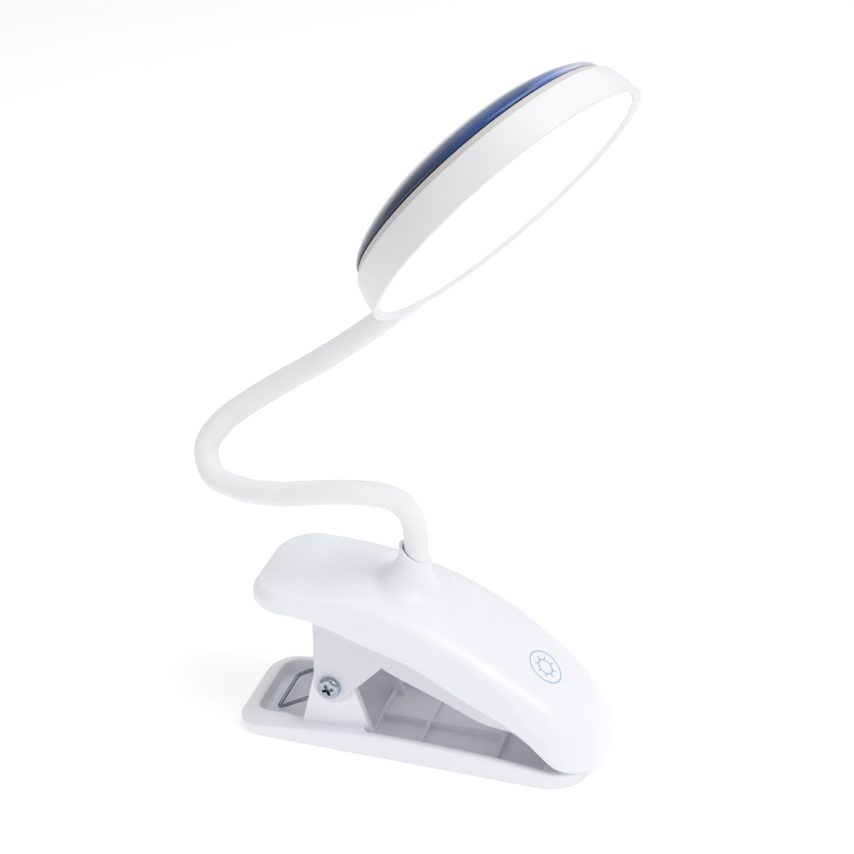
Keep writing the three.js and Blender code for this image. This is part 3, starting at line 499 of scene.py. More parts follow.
def tube(path, radius, facets, reference, inner=None, span=slice(None)):
    """A round section carried along a path, or along the span of it that is asked for.

    The section's first direction is the reference with its part along the path taken out, and the second
    is square to both. A closed end is a flat cap; with an inner radius the wall returns inside.
    """
    along = np.gradient(path, axis=0)
    along /= np.linalg.norm(along, axis=1, keepdims=True)
    reference = np.broadcast_to(reference, path.shape)
    first = reference - np.sum(reference * along, 1, keepdims=True) * along
    first /= np.linalg.norm(first, axis=1, keepdims=True)
    second = np.cross(along, first)
    turn = np.linspace(0, 2 * np.pi, facets, endpoint=False)[None, :, None]
    section = (np.cos(turn) * first[:, None] + np.sin(turn) * second[:, None])[span]
    path = path[span]
    outer = path[:, None] + radius * section
    if inner is None:
        return grid(outer, caps=True)
    return grid(np.concatenate([outer, (path[:, None] + inner * section)[::-1]]), wrap_rows=True)


# ---------------------------------------------------------------- finishes
def add(tree, kind, links=(), **settings):
    """Adds a node, gives its sockets or properties the settings, and links other nodes' outputs to it.

    Each link is (source node, output name, input name). A setting whose name is an input fills it.
    """
    node = tree.nodes.new(kind)
    for name, value in settings.items():
        if hasattr(node, name):
            setattr(node, name, value)
        else:
            node.inputs[name.replace("_", " ")].default_value = value
    for source, output, target in links:
        tree.links.new(source.outputs[output], node.inputs[target])
    return node


def blank_material(name):
    """A material with an empty node tree, and the tree."""
    material = bpy.data.materials.new(name)
    material.use_nodes = True
    material.node_tree.nodes.clear()
    return material, material.node_tree


def surface(tree, colour_from, height_from, bump, distance, rough, **settings):
    """A Principled shader with a bump from a height and a roughness that varies a little with it."""
    normal = add(tree, "ShaderNodeBump", [(height_from, 0, "Height")], Strength=bump, Distance=distance)
    varied = add(
        tree, "ShaderNodeMapRange", [(height_from, 0, "Value")],
        To_Min=rough - 0.04, To_Max=rough + 0.04,
    )
    shader = add(
        tree, "ShaderNodeBsdfPrincipled",
        [(colour_from, 0, "Base Color"), (normal, "Normal", "Normal"), (varied, 0, "Roughness")],
    )
    for name, value in settings.items():
        shader.inputs[name.replace("_", " ")].default_value = value
    add(tree, "ShaderNodeOutputMaterial", [(shader, "BSDF", "Surface")])
    return shader


def grained(tree, size, detail=2.0):
    """Noise whose cells are the given size in millimetres, on the piece's own coordinates."""
    place = add(tree, "ShaderNodeTexCoord")
    return add(
        tree, "ShaderNodeTexNoise", [(place, "Object", "Vector")],
        Scale=1 / (size * MM), Detail=detail, Roughness=0.55,
    )


def two_tone(tree, source, first, second, low=0.3, high=0.7):
    """A ramp between two linear colours over the source's value."""
    ramp = add(tree, "ShaderNodeValToRGB", [(source, 0, "Fac")])
    ramp.color_ramp.elements[0].position = low
    ramp.color_ramp.elements[1].position = high
    ramp.color_ramp.elements[0].color = (*first, 1)
    ramp.color_ramp.elements[1].color = (*second, 1)
    return ramp


def shaded(value, factor):
    """The colour made darker by the factor."""
    return tuple(v * factor for v in value)


def moulded_abs(name, value, rough):
    """Injection-moulded ABS from a fine spark-eroded tool: an even satin white with a soft grain."""
    material, tree = blank_material(name)
    cloud = grained(tree, 14, 1)
    tone = two_tone(tree, cloud, shaded(value, 0.985), value)
    grain = grained(tree, 0.35)  # a real grain is 0.1 mm, drawn coarser so that it shows
    surface(tree, tone, grain, 0.05, 0.0001, rough, IOR=1.54, Specular_IOR_Level=0.5)
    return material


def drawn_silicone(name, value):
    """Extruded silicone with a dusted surface: a matt, slightly warm white that blurs every highlight."""
    material, tree = blank_material(name)
    cloud = grained(tree, 9, 1)
    tone = two_tone(tree, cloud, shaded(value, 0.98), value)
    grain = grained(tree, 0.3)
    surface(tree, tone, grain, 0.08, 0.0001, 0.58, IOR=1.41, Sheen_Weight=0.08, Sheen_Roughness=0.6)
    return material


def grip_rubber(name, value):
    """Moulded thermoplastic rubber: matt, in a pinkish grey that is partly its own tone and partly painted
    shade from the lever's overhang.
    """
    material, tree = blank_material(name)
    grain = grained(tree, 0.4)
    tone = two_tone(tree, grain, shaded(value, 0.93), value)
    surface(tree, tone, grain, 0.2, 0.0001, 0.82, IOR=1.5)
    return material


def plated_steel(name, value, rough, streak):
    """Drawn or pressed steel, zinc plated or oiled: a bright metal with fine streaks from the die."""
    material, tree = blank_material(name)
    place = add(tree, "ShaderNodeTexCoord")
    stretch = add(tree, "ShaderNodeMapping", [(place, "Object", "Vector")], Scale=(1, 8, 1))
    lines = add(
        tree, "ShaderNodeTexNoise", [(stretch, 0, "Vector")], Scale=1 / (streak * MM), Detail=2.0,
    )
    tone = two_tone(tree, lines, shaded(value, 0.6), value)
    surface(tree, tone, lines, 0.12, 0.00005, rough, Metallic=1.0)
    return material


def share_across(tree, centre, towards):
    """How far a point lies in a direction over the head: 0 at one rim and 1 at the other."""
    radius = sizes("lamp_head").radius * MM
    place = add(tree, "ShaderNodeTexCoord")
    along = add(tree, "ShaderNodeVectorMath", [(place, "Object", "Vector")], operation="SUBTRACT")
    along.inputs[1].default_value = Vector(centre * MM)
    reach = add(tree, "ShaderNodeVectorMath", [(along, 0, "Vector")], operation="DOT_PRODUCT")
    reach.inputs[1].default_value = Vector(towards)
    return add(tree, "ShaderNodeMapRange", [(reach, "Value", "Value")], From_Min=-radius, From_Max=radius)


def blue_acrylic(name, royal):
    """Injection-moulded tinted acrylic, polished, whose colour holds painted light and shade.

    The colour runs along the head from the neck to the far rim. It starts as painted shade in navy, passes
    through the cover's own royal blue in the middle, then turns to painted light in lavender and a painted
    reflection of the white room in pale at the far rim. A polished coat gives the hard gloss.
    """
    material, tree = blank_material(name)
    colours = sizes("lamp_colours")
    centre, x_axis, y_axis, _ = head_frame()
    share = share_across(tree, centre, -x_axis * 0.86 + y_axis * 0.5)
    # Painted shade (navy), painted light (lavender) and a painted rim reflection (pale) along the head, round
    # the cover's own royal blue.
    ramp = two_tone(tree, share, colours.shaded_navy, colours.pale, 0.12, 0.92)
    for position, value in ((0.42, colours.shaded_navy), (0.66, royal), (0.79, royal), (0.86, colours.lit_lavender)):
        element = ramp.color_ramp.elements.new(position)
        element.color = (*value, 1)
    haze = grained(tree, 3)
    shader = surface(tree, ramp, haze, 0.01, 0.0001, 0.09, IOR=1.49)
    shader.inputs["Coat Weight"].default_value = 0.6
    shader.inputs["Coat Roughness"].default_value = 0.03
    return material


def lit_opal(name, value):
    """Extruded opal acrylic lit from behind by the ring of LEDs: an even white that is full in the middle.

    The colour and the glow turn a little greyer towards the far rim.
    """
    material, tree = blank_material(name)
    centre, x_axis, y_axis, _ = head_frame()
    share = share_across(tree, centre - x_axis * 6, -x_axis * 0.9 + y_axis * 0.43)
    glow = two_tone(tree, share, (1, 1, 1), value, 0.6, 1.0)
    haze = grained(tree, 0.8)
    shader = surface(tree, glow, haze, 0.02, 0.0001, 0.35, IOR=1.49, Emission_Strength=0.3)
    tree.links.new(glow.outputs[0], shader.inputs["Emission Color"])
    return material


def printed_ink(name, value):
    """Pad-printed ink: a thin matt film whose colour breaks a little over the grain under it."""
    material, tree = blank_material(name)
    grain = grained(tree, 0.25)
    tone = two_tone(tree, grain, value, tuple(min(1, v * 1.12) for v in value))
    surface(tree, tone, grain, 0.1, 0.00005, 0.55, IOR=1.5)
    return material


def plain_finish(name, value, rough, metallic, grain_size, **settings):
    """A moulded, pressed or cut surface with a grain of the given size and a small change of tone."""
    material, tree = blank_material(name)
    grain = grained(tree, grain_size)
    tone = two_tone(tree, grain, shaded(value, 0.88), value)
    surface(tree, tone, grain, 0.1, 0.0001, rough, Metallic=metallic, **settings)
    return material


# Each finish: its maker, its colour (one of LampColours or an sRGB hex value) and the maker's own numbers.
FINISHES = {
    "moulded_white_abs": (moulded_abs, "shell", 0.36),
    "moulded_inner_abs": (moulded_abs, "inner", 0.46),
    # The cover's darker grey is painted shade: it stands in for the shade under the lever's overhang.
    "moulded_cover_abs": (moulded_abs, "E2E1E8", 0.46),
    "satin_ring_abs": (moulded_abs, "E9E9EB", 0.42),
    # Painted shade: this grey stands in for the shade on the rear frame's step.
    "grey_abs": (moulded_abs, "CFCBC9", 0.5),
    "extruded_silicone": (drawn_silicone, "sleeve"),
    "moulded_rubber": (grip_rubber, "grip"),
    "zinc_plated_steel": (plated_steel, "BCC8D2", 0.16, 0.6),
    "oiled_spring_steel": (plated_steel, "9CA4AC", 0.22, 0.4),
    "polished_blue_acrylic": (blue_acrylic, "royal"),
    "lit_opal_acrylic": (lit_opal, "D6D8DA"),
    "pad_printed_ink": (printed_ink, "mark"),
    "pressed_brass": (plain_finish, "D9BF7A", 0.3, 1.0, 0.5),
    "solder_mask": (plain_finish, "1F6B45", 0.4, 0.0, 0.8),
    "foil_pouch": (plain_finish, "C9CDD1", 0.35, 1.0, 1.5),
    "led_phosphor": (plain_finish, "F6E9A8", 0.4, 0.0, 0.3),
    "clear_acrylic": (plain_finish, "EAF4FF", 0.08, 0.0, 1.0),
    "gloss_reflector": (plain_finish, "F6F6F6", 0.15, 0.0, 2.0),
}
FINISH_SETTINGS = {
    "led_phosphor": {"Emission_Color": (1.0, 0.95, 0.8, 1), "Emission_Strength": 2.0},
    "clear_acrylic": {"Transmission_Weight": 0.8, "IOR": 1.49},
}


def finish(name):
    """The finish of that name, made the first time it is asked for."""
    found = bpy.data.materials.get(name)
    if found:
        return found
    maker, shade, *numbers = FINISHES[name]
    colours = sizes("lamp_colours")
    value = getattr(colours, shade) if hasattr(colours, shade) else linear(shade)
    return maker(name, value, *numbers, **FINISH_SETTINGS.get(name, {}))


# ---------------------------------------------------------------- lower jaw
RIB_X = (-13.0, 2.4, 26.5)
RIB_HALF = 0.6
NOSE_BLOCK = 13  # length of the solid nose under the grip strip
NOSE_BLOCK_Z = 6.0
JAW_CORNERS = (9, 14)  # rear and front corner radii in plan
HINGE_WALL = 5.1  # how far the rim reaches in beside the hinge
POCKET_WALL = 3.6  # the same beside the spring pocket, where the tray narrows as well
POCKET_EDGE = 5.4  # width of the flange round the spring pocket
RIDGE = 2.1  # rise of that flange
RIM_ROUND = 0.8
EAR_EYE = 6.2
JAW_HALF = JAW_HIGH[1]


def rim_height(x):
    """Height of the lower jaw's rim: level beside the ribs, falling to the rear and to the nose."""
    rim = sizes("lamp_clip").jaw_rim
    rear, front = JAW_LOW[0], JAW_HIGH[0]
    return np.interp(
        x, [rear, PIVOT[0] - 11, RIB_X[0], 0, RIB_X[2], front],
        [3.8, 6.2, rim - 0.2, rim, rim - 0.7, 5.4],
    )


def jaw_body():
    """The tray as rings in plan: out under the floor, up the flared wall, over the rim and down inside.

    The wall leans out by its foot inset, the rim is rounded, and behind the hinge the rim becomes a sloping
    flange that rises to a ridge round the spring pocket.
    """
    clip = sizes("lamp_clip")
    rear, front = JAW_LOW[0], JAW_HIGH[0]

    def ring(inset):
        rear_corner, front_corner = JAW_CORNERS
        return plan_ring(
            rear + inset, front - inset, JAW_HALF - inset, rear_corner - inset * 0.6, front_corner - inset,
        )

    def inner(extra):
        tray = ring(clip.jaw_wall + extra)
        hinge = smooth_step(tray[:, 0], RIB_X[0], RIB_X[0] - 1.6)
        pocket = 1 - smooth_step(tray[:, 0], PIVOT[0] - 13, PIVOT[0] - 11)
        extra_wall = HINGE_WALL * hinge + (POCKET_WALL - HINGE_WALL) * pocket
        narrow = plan_ring(
            rear + POCKET_EDGE + extra, front - clip.jaw_wall - extra, JAW_HALF - POCKET_EDGE - extra, 5, 12,
        )
        mixed = tray.copy()
        mixed[:, 1] = np.sign(tray[:, 1]) * np.maximum(np.abs(tray[:, 1]) - extra_wall, 0)
        weight = pocket[:, None]
        return mixed * (1 - weight) + narrow * weight

    def rear_share(points):
        return 1 - smooth_step(points[:, 0], PIVOT[0] - 17, PIVOT[0] - 9)

    rings = []
    bottom = ring(1.3)
    rings.append(lift(spine_ring(bottom, JAW_HALF), 0))
    rings.append(lift(bottom * 0.5 + spine_ring(bottom, JAW_HALF) * 0.5, 0))
    for inset, height in ((1.3, 0.0), (0.95, 0.08), (0.75, 0.35)):
        rings.append(lift(ring(inset), height))
    for share in (0.25, 0.5, 0.75):
        inset = 0.7 * (1 - share)
        level = ring(inset)
        rings.append(lift(level, 0.35 + (rim_height(level[:, 0]) - 1.15) * share))
    a = np.linspace(0, np.pi / 2, 5)
    for inset, drop in zip(RIM_ROUND * (1 - np.cos(a)), RIM_ROUND * (1 - np.sin(a))):
        level = ring(inset)
        rings.append(lift(level, rim_height(level[:, 0]) - drop))
    start, end = ring(RIM_ROUND), inner(0)
    for share in (0.35, 0.7, 0.88):
        level = start * (1 - share) + end * share
        ridge = RIDGE * rear_share(level) * np.sin(np.pi / 2 * share)
        rings.append(lift(level, rim_height(level[:, 0]) + ridge))
    rim_inside = rim_height(end[:, 0]) + RIDGE * rear_share(end)
    rings.append(lift(end, rim_inside - 0.35))
    rings.append(lift(inner(0.15), (rim_inside + clip.jaw_floor) / 2))
    rings.append(lift(inner(0.3), clip.jaw_floor + 0.5))
    rings.append(lift(inner(0.8), clip.jaw_floor))
    low = inner(0.8)
    rings.append(lift(low * 0.5 + spine_ring(bottom, JAW_HALF) * 0.5, clip.jaw_floor))
    rings.append(lift(spine_ring(bottom, JAW_HALF), clip.jaw_floor))
    return grid(np.array(rings))


def ear_outline():
    """Lower ear seen from the side: a trapezoid that narrows to a round eye about the pivot."""
    x, z = PIVOT[0], PIVOT[2]
    a = np.linspace(0.35, np.pi - 0.2, 16)
    eye = np.stack([x + EAR_EYE * np.cos(a), z + EAR_EYE * np.sin(a)], 1)
    foot = np.array([[x - 11.2, 0.8], [x + 14.2, 0.8]])
    return dense(np.vstack([foot, eye]), 1.5)


def side_rod(radius, x, z, low, high, steps=48):
    """A round bar along y."""
    profile = [[0, low], [radius, low], [radius, high], [0, high]]
    return turned(profile, (x, 0, z), (X_AXIS, -Z_AXIS, Y_AXIS), steps)


def pivot_bore():
    """A bar through both jaws where the pivot tube passes."""
    return side_rod(PIVOT_BORE, PIVOT[0], PIVOT[2], -60, 60)


def both_sides(outline, inner, outer, fillet):
    """The same plate each side of the middle, from the inner to the outer distance along y."""
    return [slab(outline, *sorted((side * inner, side * outer)), fillet, side_place) for side in (-1, 1)]


def upright_rod(radius, x, y, low, high, steps=48):
    """A round bar along z."""
    profile = [[0, low], [radius, low], [radius, high], [0, high]]
    return turned(profile, (x, y, 0), UPRIGHT, steps)


UPPER_EAR = 2.0  # thickness of the under cover's ears


def ear_y():
    """Inner and outer y of the lower ears, between the upper ears with clearance."""
    outer = COVER_HIGH[1] - UPPER_EAR - GAP
    return outer - sizes("lamp_clip").ear_thickness, outer


def box_outline(x0, x1, y0, y1, corner):
    """A rectangle whose corners are rounded."""
    return rounded_polygon([[x0, y0], [x1, y0], [x1, y1], [x0, y1]], [corner] * 4, 5)


class LAMP_OT_lower_jaw(bpy.types.Operator):
    """Lower jaw: a flared tray with a rib lattice, a spring pocket, two ears and a solid nose"""
    bl_idname = "lamp.lower_jaw"
    bl_label = "Lower jaw"

    def execute(self, context):
        clip = sizes("lamp_clip")
        made = new_mesh("lower_jaw_tray", jaw_body())
        inside = JAW_HALF - clip.jaw_wall + 0.4
        front = JAW_HIGH[0]
        top = clip.jaw_floor + 2.2
        ribs = [(x - RIB_HALF, x + RIB_HALF, -inside, inside) for x in RIB_X]
        ribs.append((RIB_X[0], RIB_X[2], -RIB_HALF, RIB_HALF))
        parts = [slab(box_outline(*rib, 0.3), 0.5, top, 0.28, plan_place) for rib in ribs]
        nose = plan_ring(front - NOSE_BLOCK, front - 1.2, inside, 0.6, 12.8)
        parts.append(slab(nose, 0.4, NOSE_BLOCK_Z, 0.35, plan_place))
        parts += both_sides(ear_outline(), *ear_y(), 0.45)
        combine(made, parts, "UNION")
        combine(made, [pivot_bore()], "DIFFERENCE")
        finish_piece(made, "moulded_inner_abs", "lower_jaw", "white_abs", "lower_jaw")
        return {"FINISHED"}


GROOVE_HALF, GROOVE_DEPTH, GROOVE_PITCH = 0.25, 0.18, 1.5


class LAMP_OT_grip_strips(bpy.types.Operator):
    """Rubber strips at the jaw tips, with cross grooves on the gripping face"""
    bl_idname = "lamp.grip_strips"
    bl_label = "Grip strips"

    def execute(self, context):
        for node, body, corner, face in (
            ("lower_grip_pad", "lower_jaw", 11.9, 1), ("upper_grip_pad", "upper_jaw", 10.0, -1),
        ):
            low, high = corners(node)
            ring = plan_ring(low[0], high[0], high[1], 0.8, min(corner, high[1] - 1, high[0] - low[0] - 1))
            made = new_mesh(node.replace("pad", "strip"), slab(ring, low[2], high[2], 0.3, plan_place))
            level = high[2] if face > 0 else low[2]
            grooves = [
                slab(
                    box_outline(x - GROOVE_HALF, x + GROOVE_HALF, -30, 30, 0.1),
                    level - GROOVE_DEPTH, level + GROOVE_DEPTH, 0.02, plan_place, 1,
                )
                for x in np.arange(low[0] + 1.6, high[0] - 2, GROOVE_PITCH)
            ]
            combine(made, grooves, "DIFFERENCE")
            finish_piece(made, "moulded_rubber", body, "grip_rubber", node)
        return {"FINISHED"}


# ---------------------------------------------------------------- upper jaw
SKIRT_START, SKIRT_END = 30, 6  # where the lower edge begins to hang, measured back from the nose
LEVER_CORNERS = (12, 15)  # rear and front corner radii in plan
BAND_ROUND = 0.7  # rounding of the side band's lower edge
CORE_BORE = 2.6
SOCKET_DEPTH = 8.8
BOSS_CLEARANCE = 0.12  # round the sleeve
BOSS_WALL = 1.1
BOSS_FOOT = 14.5  # radius where the flare meets the lever
BOSS_LIP = 0.3


def skirt_height(x):
    """Height of the lever's lower edge: the band's outline, hung a little lower round the nose."""
    hang = smooth_step(x, NOSE_X - SKIRT_START, NOSE_X - SKIRT_END)
    return outline_height(BAND_EDGE, x) - sizes("lamp_clip").skirt_drop * hang


def lever_body():
    """The lever's outer shell as rings in plan: over the crowned top, down the band and back up inside.

    The cavity under it starts behind the hinge, so the finger pad stays a solid plate.
    """
    clip = sizes("lamp_clip")
    rear, front = SHELL_LOW[0], SHELL_HIGH[0]
    rear_corner, front_corner = LEVER_CORNERS

    def ring(inset):
        return plan_ring(
            rear + inset, front - inset, LEVER_HALF - inset, rear_corner - inset, front_corner - inset,
        )

    outer = ring(0)
    spine = spine_ring(outer, LEVER_HALF)
    width = np.linalg.norm(outer - spine, axis=1)
    rings = []
    for share in 1 - np.linspace(1, 0, 44) ** 1.7:
        plan = spine * (1 - share) + outer * share
        rings.append(lift(plan, lever_top(plan[:, 0], plan[:, 1], width * (1 - share))))
    crease, band = lever_top(outer[:, 0], outer[:, 1], 0), skirt_height(outer[:, 0])
    for share in (0.3, 0.6):
        rings.append(lift(outer, crease + (band + BAND_ROUND - crease) * share))
    a = np.linspace(0, np.pi / 2, 5)
    for inset, rise in zip(BAND_ROUND * (1 - np.cos(a)), BAND_ROUND * (1 - np.sin(a))):
        level = ring(inset)
        rings.append(lift(level, skirt_height(level[:, 0]) + rise))
    cavity_half = COVER_HIGH[1] + GAP
    cavity = plan_ring(
        COVER_LOW[0] - GAP, front - clip.shell_wall, cavity_half, 1, front_corner - clip.shell_wall,
    )
    rim = ring(BAND_ROUND)
    for share in (0.5, 1.0):
        level = rim * (1 - share) + cavity * share
        rings.append(lift(level, skirt_height(level[:, 0])))
    inner_spine = spine_ring(cavity, cavity_half)
    reach = np.linalg.norm(cavity - inner_spine, axis=1)
    for share in 1 - np.linspace(0, 1, 20) ** 1.5:
        plan = inner_spine * (1 - share) + cavity * share
        roof = lever_top(plan[:, 0], plan[:, 1], reach * (1 - share) + clip.shell_wall) - clip.shell_wall
        rings.append(lift(plan, np.maximum(roof, outline_height(BAND_EDGE, plan[:, 0]) + 0.3)))
    return grid(np.array(rings))


def boss_body():
    """The neck's socket: a quarter ellipse flares from the socket's wall down to the lever's own surface.

    At each step the height is the lever's surface mixed with the socket's own level, plus the ellipse's
    rise, so the foot is tangent to the lever all the way round. The mouth leans forward with the lever's
    top: its height drops by the lean times the distance ahead of the neck's axis.
    """
    clip = sizes("lamp_clip")
    neck = sizes("lamp_neck")
    bore = neck.radius + BOSS_CLEARANCE
    wall = bore + BOSS_WALL
    turn = np.linspace(0, 2 * np.pi, 96, endpoint=False)
    level = SOCKET_MOUTH_Z - clip.boss_height

    def ring(radius, height=None, mix=0.0, rise=0.0):
        x, y = NECK_X + radius * np.cos(turn), radius * np.sin(turn)
        lean = clip.boss_lean * (NECK_X - x)
        if height is None:
            own = lever_top(x, y, LEVER_HALF - np.abs(y))
            return np.column_stack([x, y, own * (1 - mix) + (level + lean) * mix + rise])
        return np.column_stack([x, y, height + lean])

    rings = [ring(BOSS_FOOT - 0.4, rise=-1.0), ring(BOSS_FOOT, rise=-0.06)]
    for a in np.linspace(0, np.pi / 2, 26)[1:]:
        share = np.sin(a)
        rings.append(ring(
            BOSS_FOOT - (BOSS_FOOT - wall) * share, mix=float(smooth_step(share, 0.3, 1.0)),
            rise=(clip.boss_height - 2.6) * (1 - np.cos(a)) - 0.06 * (1 - share),
        ))
    for radius, depth in (
        (wall, BOSS_LIP), (wall - BOSS_LIP * 0.3, BOSS_LIP * 0.3), (wall - BOSS_LIP, 0),
        (bore + BOSS_LIP * 0.6, 0), (bore, BOSS_LIP * 0.6), (bore, SOCKET_DEPTH), (CORE_BORE, SOCKET_DEPTH),
    ):
        rings.append(ring(radius, SOCKET_MOUTH_Z - depth))
    rings += [ring(CORE_BORE, level - 1.0), ring(wall, level - 1.2)]
    return grid(np.array(rings), wrap_rows=True)


def node_points(node):
    """The corners of a CAD node's mesh, in millimetres."""
    data = frame["nodes"][node].data
    points = np.empty(len(data.vertices) * 3, np.float32)
    data.vertices.foreach_get("co", points)
    return points.reshape(-1, 3).astype(float) / MM


def tray_frame():
    """Centre and long and upright axes of the sloping tray that holds the board and the charging socket."""
    points = node_points("control_board")
    centre = points.mean(0)
    turn = np.linalg.svd(points - centre)[2]
    x_axis = turn[0] if abs(turn[0][1]) < 0.5 else turn[1]
    x_axis = x_axis * np.sign(x_axis[0])
    return centre, x_axis, np.cross(x_axis, Y_AXIS)


def node_in_tray(node):
    """Half sizes of a node in the tray's own x and z, and the placing of an outline about its centre.

    The placing takes an outline given in (x, z) of the tray, with its thickness along y.
    """
    centre, x_axis, z_axis = tray_frame()
    origin = centre * [1, 0, 1]
    corner = node_points(node) - origin
    along, up = corner @ x_axis, corner @ z_axis
    half_x, half_z = np.ptp(along) / 2, np.ptp(up) / 2
    at_x, at_z = along.min() + half_x, up.min() + half_z

    def place(points):
        x, z, y = points[..., 0:1], points[..., 1:2], points[..., 2:3]
        return origin + (at_x + x) * x_axis + (at_z + z) * z_axis + y * Y_AXIS
    return half_x, half_z, place


def stadium(half_x, half_z, steps=12):
    """A slot with round ends: two half circles joined by straight sides."""
    a = np.linspace(-np.pi / 2, np.pi / 2, steps)
    right = np.stack([half_x - half_z + half_z * np.cos(a), half_z * np.sin(a)], 1)
    return dense(np.vstack([right, -right]), 0.6)


class LAMP_OT_lever(bpy.types.Operator):
    """Upper lever: a crowned shell with a thin finger pad, a side band and the flared neck socket"""
    bl_idname = "lamp.lever"
    bl_label = "Upper lever"

    def execute(self, context):
        made = new_mesh("upper_lever_shell", lever_body())
        combine(made, [boss_body()], "UNION")
        side_wall = (LEVER_HALF - 5, LEVER_HALF + 5)
        half_x, half_z, place = node_in_tray("charging_socket")
        port = slab(stadium(half_x + 0.35, half_z + 0.35), *side_wall, 0.01, place, 1)
        half_x, _, place = node_in_tray("charge_light")
        light = slab(stadium(half_x + 0.3, half_x + 0.299), *side_wall, 0.01, place, 1)
        core = upright_rod(CORE_BORE, NECK_X, 0, 30, SOCKET_MOUTH_Z - 9)
        combine(made, [port, light, core], "DIFFERENCE")
        finish_piece(made, "moulded_white_abs", "upper_jaw", "white_abs", "upper_shell")
        return {"FINISHED"}


def cover_body():
    """The under cover as rings in plan: the floor follows the cover line, the walls rise into the lever."""
    clip = sizes("lamp_clip")
    rear, front, half, corner = COVER_LOW[0], COVER_HIGH[0], COVER_HIGH[1], 12.1

    def ring(inset):
        return plan_ring(rear + inset, front - inset, half - inset, 1.0, corner - inset)

    def floor(plan, rise):
        return lift(plan, outline_height(COVER_EDGE, plan[:, 0]) + rise)

    outer = ring(0)
    spine = spine_ring(outer, half)
    wall = clip.cover_wall
    foot = 1.3  # rounding of the lower edge
    rings = [floor(spine, wall), floor(spine * 0.5 + ring(wall + 0.8) * 0.5, wall)]
    rings += [floor(ring(wall + 0.8), wall), floor(ring(wall), wall + 0.8)]
    lid = outline_height(BAND_EDGE, outer[:, 0]) + 2.6
    rings += [lift(ring(wall), lid), lift(ring(wall * 0.5), lid + 0.3), lift(ring(0.2), lid)]
    base = outline_height(COVER_EDGE, outer[:, 0])
    for share in (0.0, 0.5, 1.0):
        rings.append(lift(outer, lid - 0.3 + (base + foot - lid + 0.3) * share))
    a = np.linspace(0, np.pi / 2, 6)[1:]
    for inset, rise in zip(foot * (1 - np.cos(a)), foot * (1 - np.sin(a))):
        rings.append(floor(ring(inset), rise))
    rings += [floor(spine * 0.5 + ring(foot) * 0.5, 0), floor(spine, 0)]
    return grid(np.array(rings))


def upper_ear_outline():
    """Upper ear from the side: a straight rear edge, a round end about the pivot and a slanting front."""
    x, z = PIVOT[0], PIVOT[2]
    rear = COVER_LOW[0]
    a = np.linspace(np.pi + 0.25, 2 * np.pi - 0.2, 18)
    eye = np.stack([x + 0.6 + 5.8 * np.cos(a), z - 0.2 + 5.8 * np.sin(a)], 1)
    band = outline_height(BAND_EDGE, np.array([rear, NECK_X]))
    knee = outline_height(COVER_EDGE, np.array([NECK_X - 5.3]))[0]
    top = [[NECK_X - 5.3, knee], [NECK_X, band[1]], [rear, band[0] + 1.5]]
    return dense(np.vstack([[[rear, z - 1]], eye, top]), 1.5)


COVER_SCREWS = tuple(f"cover_screw_{i}" for i in range(1, 5))


class LAMP_OT_under_cover(bpy.types.Operator):
    """Under cover: a tray that closes the lever from below, with the two outer ears of the hinge"""
    bl_idname = "lamp.under_cover"
    bl_label = "Under cover"

    def execute(self, context):
        made = new_mesh("under_cover_tray", cover_body())
        half = COVER_HIGH[1]
        combine(made, both_sides(upper_ear_outline(), half - UPPER_EAR, half, 0.4), "UNION")
        cuts = [pivot_bore()]
        for node in COVER_SCREWS:
            low, high = corners(node)
            x, y = (low[:2] + high[:2]) / 2
            cuts.append(upright_rod(2.3, x, y, low[2] - 20, low[2] + 1.5))
        combine(made, cuts, "DIFFERENCE")
        # The cover's finish is darkened with painted shade from the lever's overhang.
        finish_piece(made, "moulded_cover_abs", "upper_jaw", "inner_abs", "under_cover")
        return {"FINISHED"}


def pan_head(radius, height, shank, length):
    """Profile of a pan-head screw from the shank's tip to the crown, a flat arc over a rounded edge."""
    a = np.linspace(0, 1, 7)
    rise = height * (0.42 + 0.58 * np.sin(a * np.pi / 2))
    crown = np.stack([radius * np.cos(a * np.pi / 2) ** 0.55, rise], 1)
    crown[-1, 0] = 0
    tip = [[0, -length], [shank * 0.7, -length], [shank, -length + shank * 0.5]]
    return np.vstack([tip, [[shank, 0], [radius * 0.96, 0], [radius, height * 0.15]], crown])


def cross_recess(origin, axes, reach, half, depth, top):
    """Two crossed slots whose walls lean in towards the bottom, for a cross-head driver."""
    x_axis, y_axis, z_axis = (np.asarray(a, float) for a in axes)
    parts = []
    for along, across in ((x_axis, y_axis), (y_axis, x_axis)):
        u = np.array([-1, 1, 1, -1])[None, :, None]
        v = np.array([-1, -1, 1, 1])[None, :, None]
        level = np.array([top - depth, top + 1.0])[:, None, None]
        scale = np.array([0.55, 1.0])[:, None, None]
        points = origin + u * scale * reach * along + v * half * across * scale + level * z_axis
        parts.append(grid(points, caps=True))
    return parts


HINGE_SCREW = (3.5, 2.0, 1.7)  # head radius, head height and shank radius
COVER_SCREW = (2.0, 1.2, 1.0)


def screw(name, node, body, origin, axes, sort, length):
    """One pan-head screw whose cross recess is turned a little, as a driver leaves it."""
    radius, height, shank = sort
    made = new_mesh(name, turned(pan_head(radius, height, shank, length), origin, axes, 64))
    turn = 0.35
    x_axis, y_axis, z_axis = (np.asarray(a, float) for a in axes)
    first = np.cos(turn) * x_axis + np.sin(turn) * y_axis
    second = -np.sin(turn) * x_axis + np.cos(turn) * y_axis
    recess = cross_recess(origin, (first, second, z_axis), radius * 0.66, radius * 0.19, height * 0.7, height)
    combine(made, recess, "DIFFERENCE")
    finish_piece(made, "zinc_plated_steel", body, "zinc_steel", node, sharp=28)


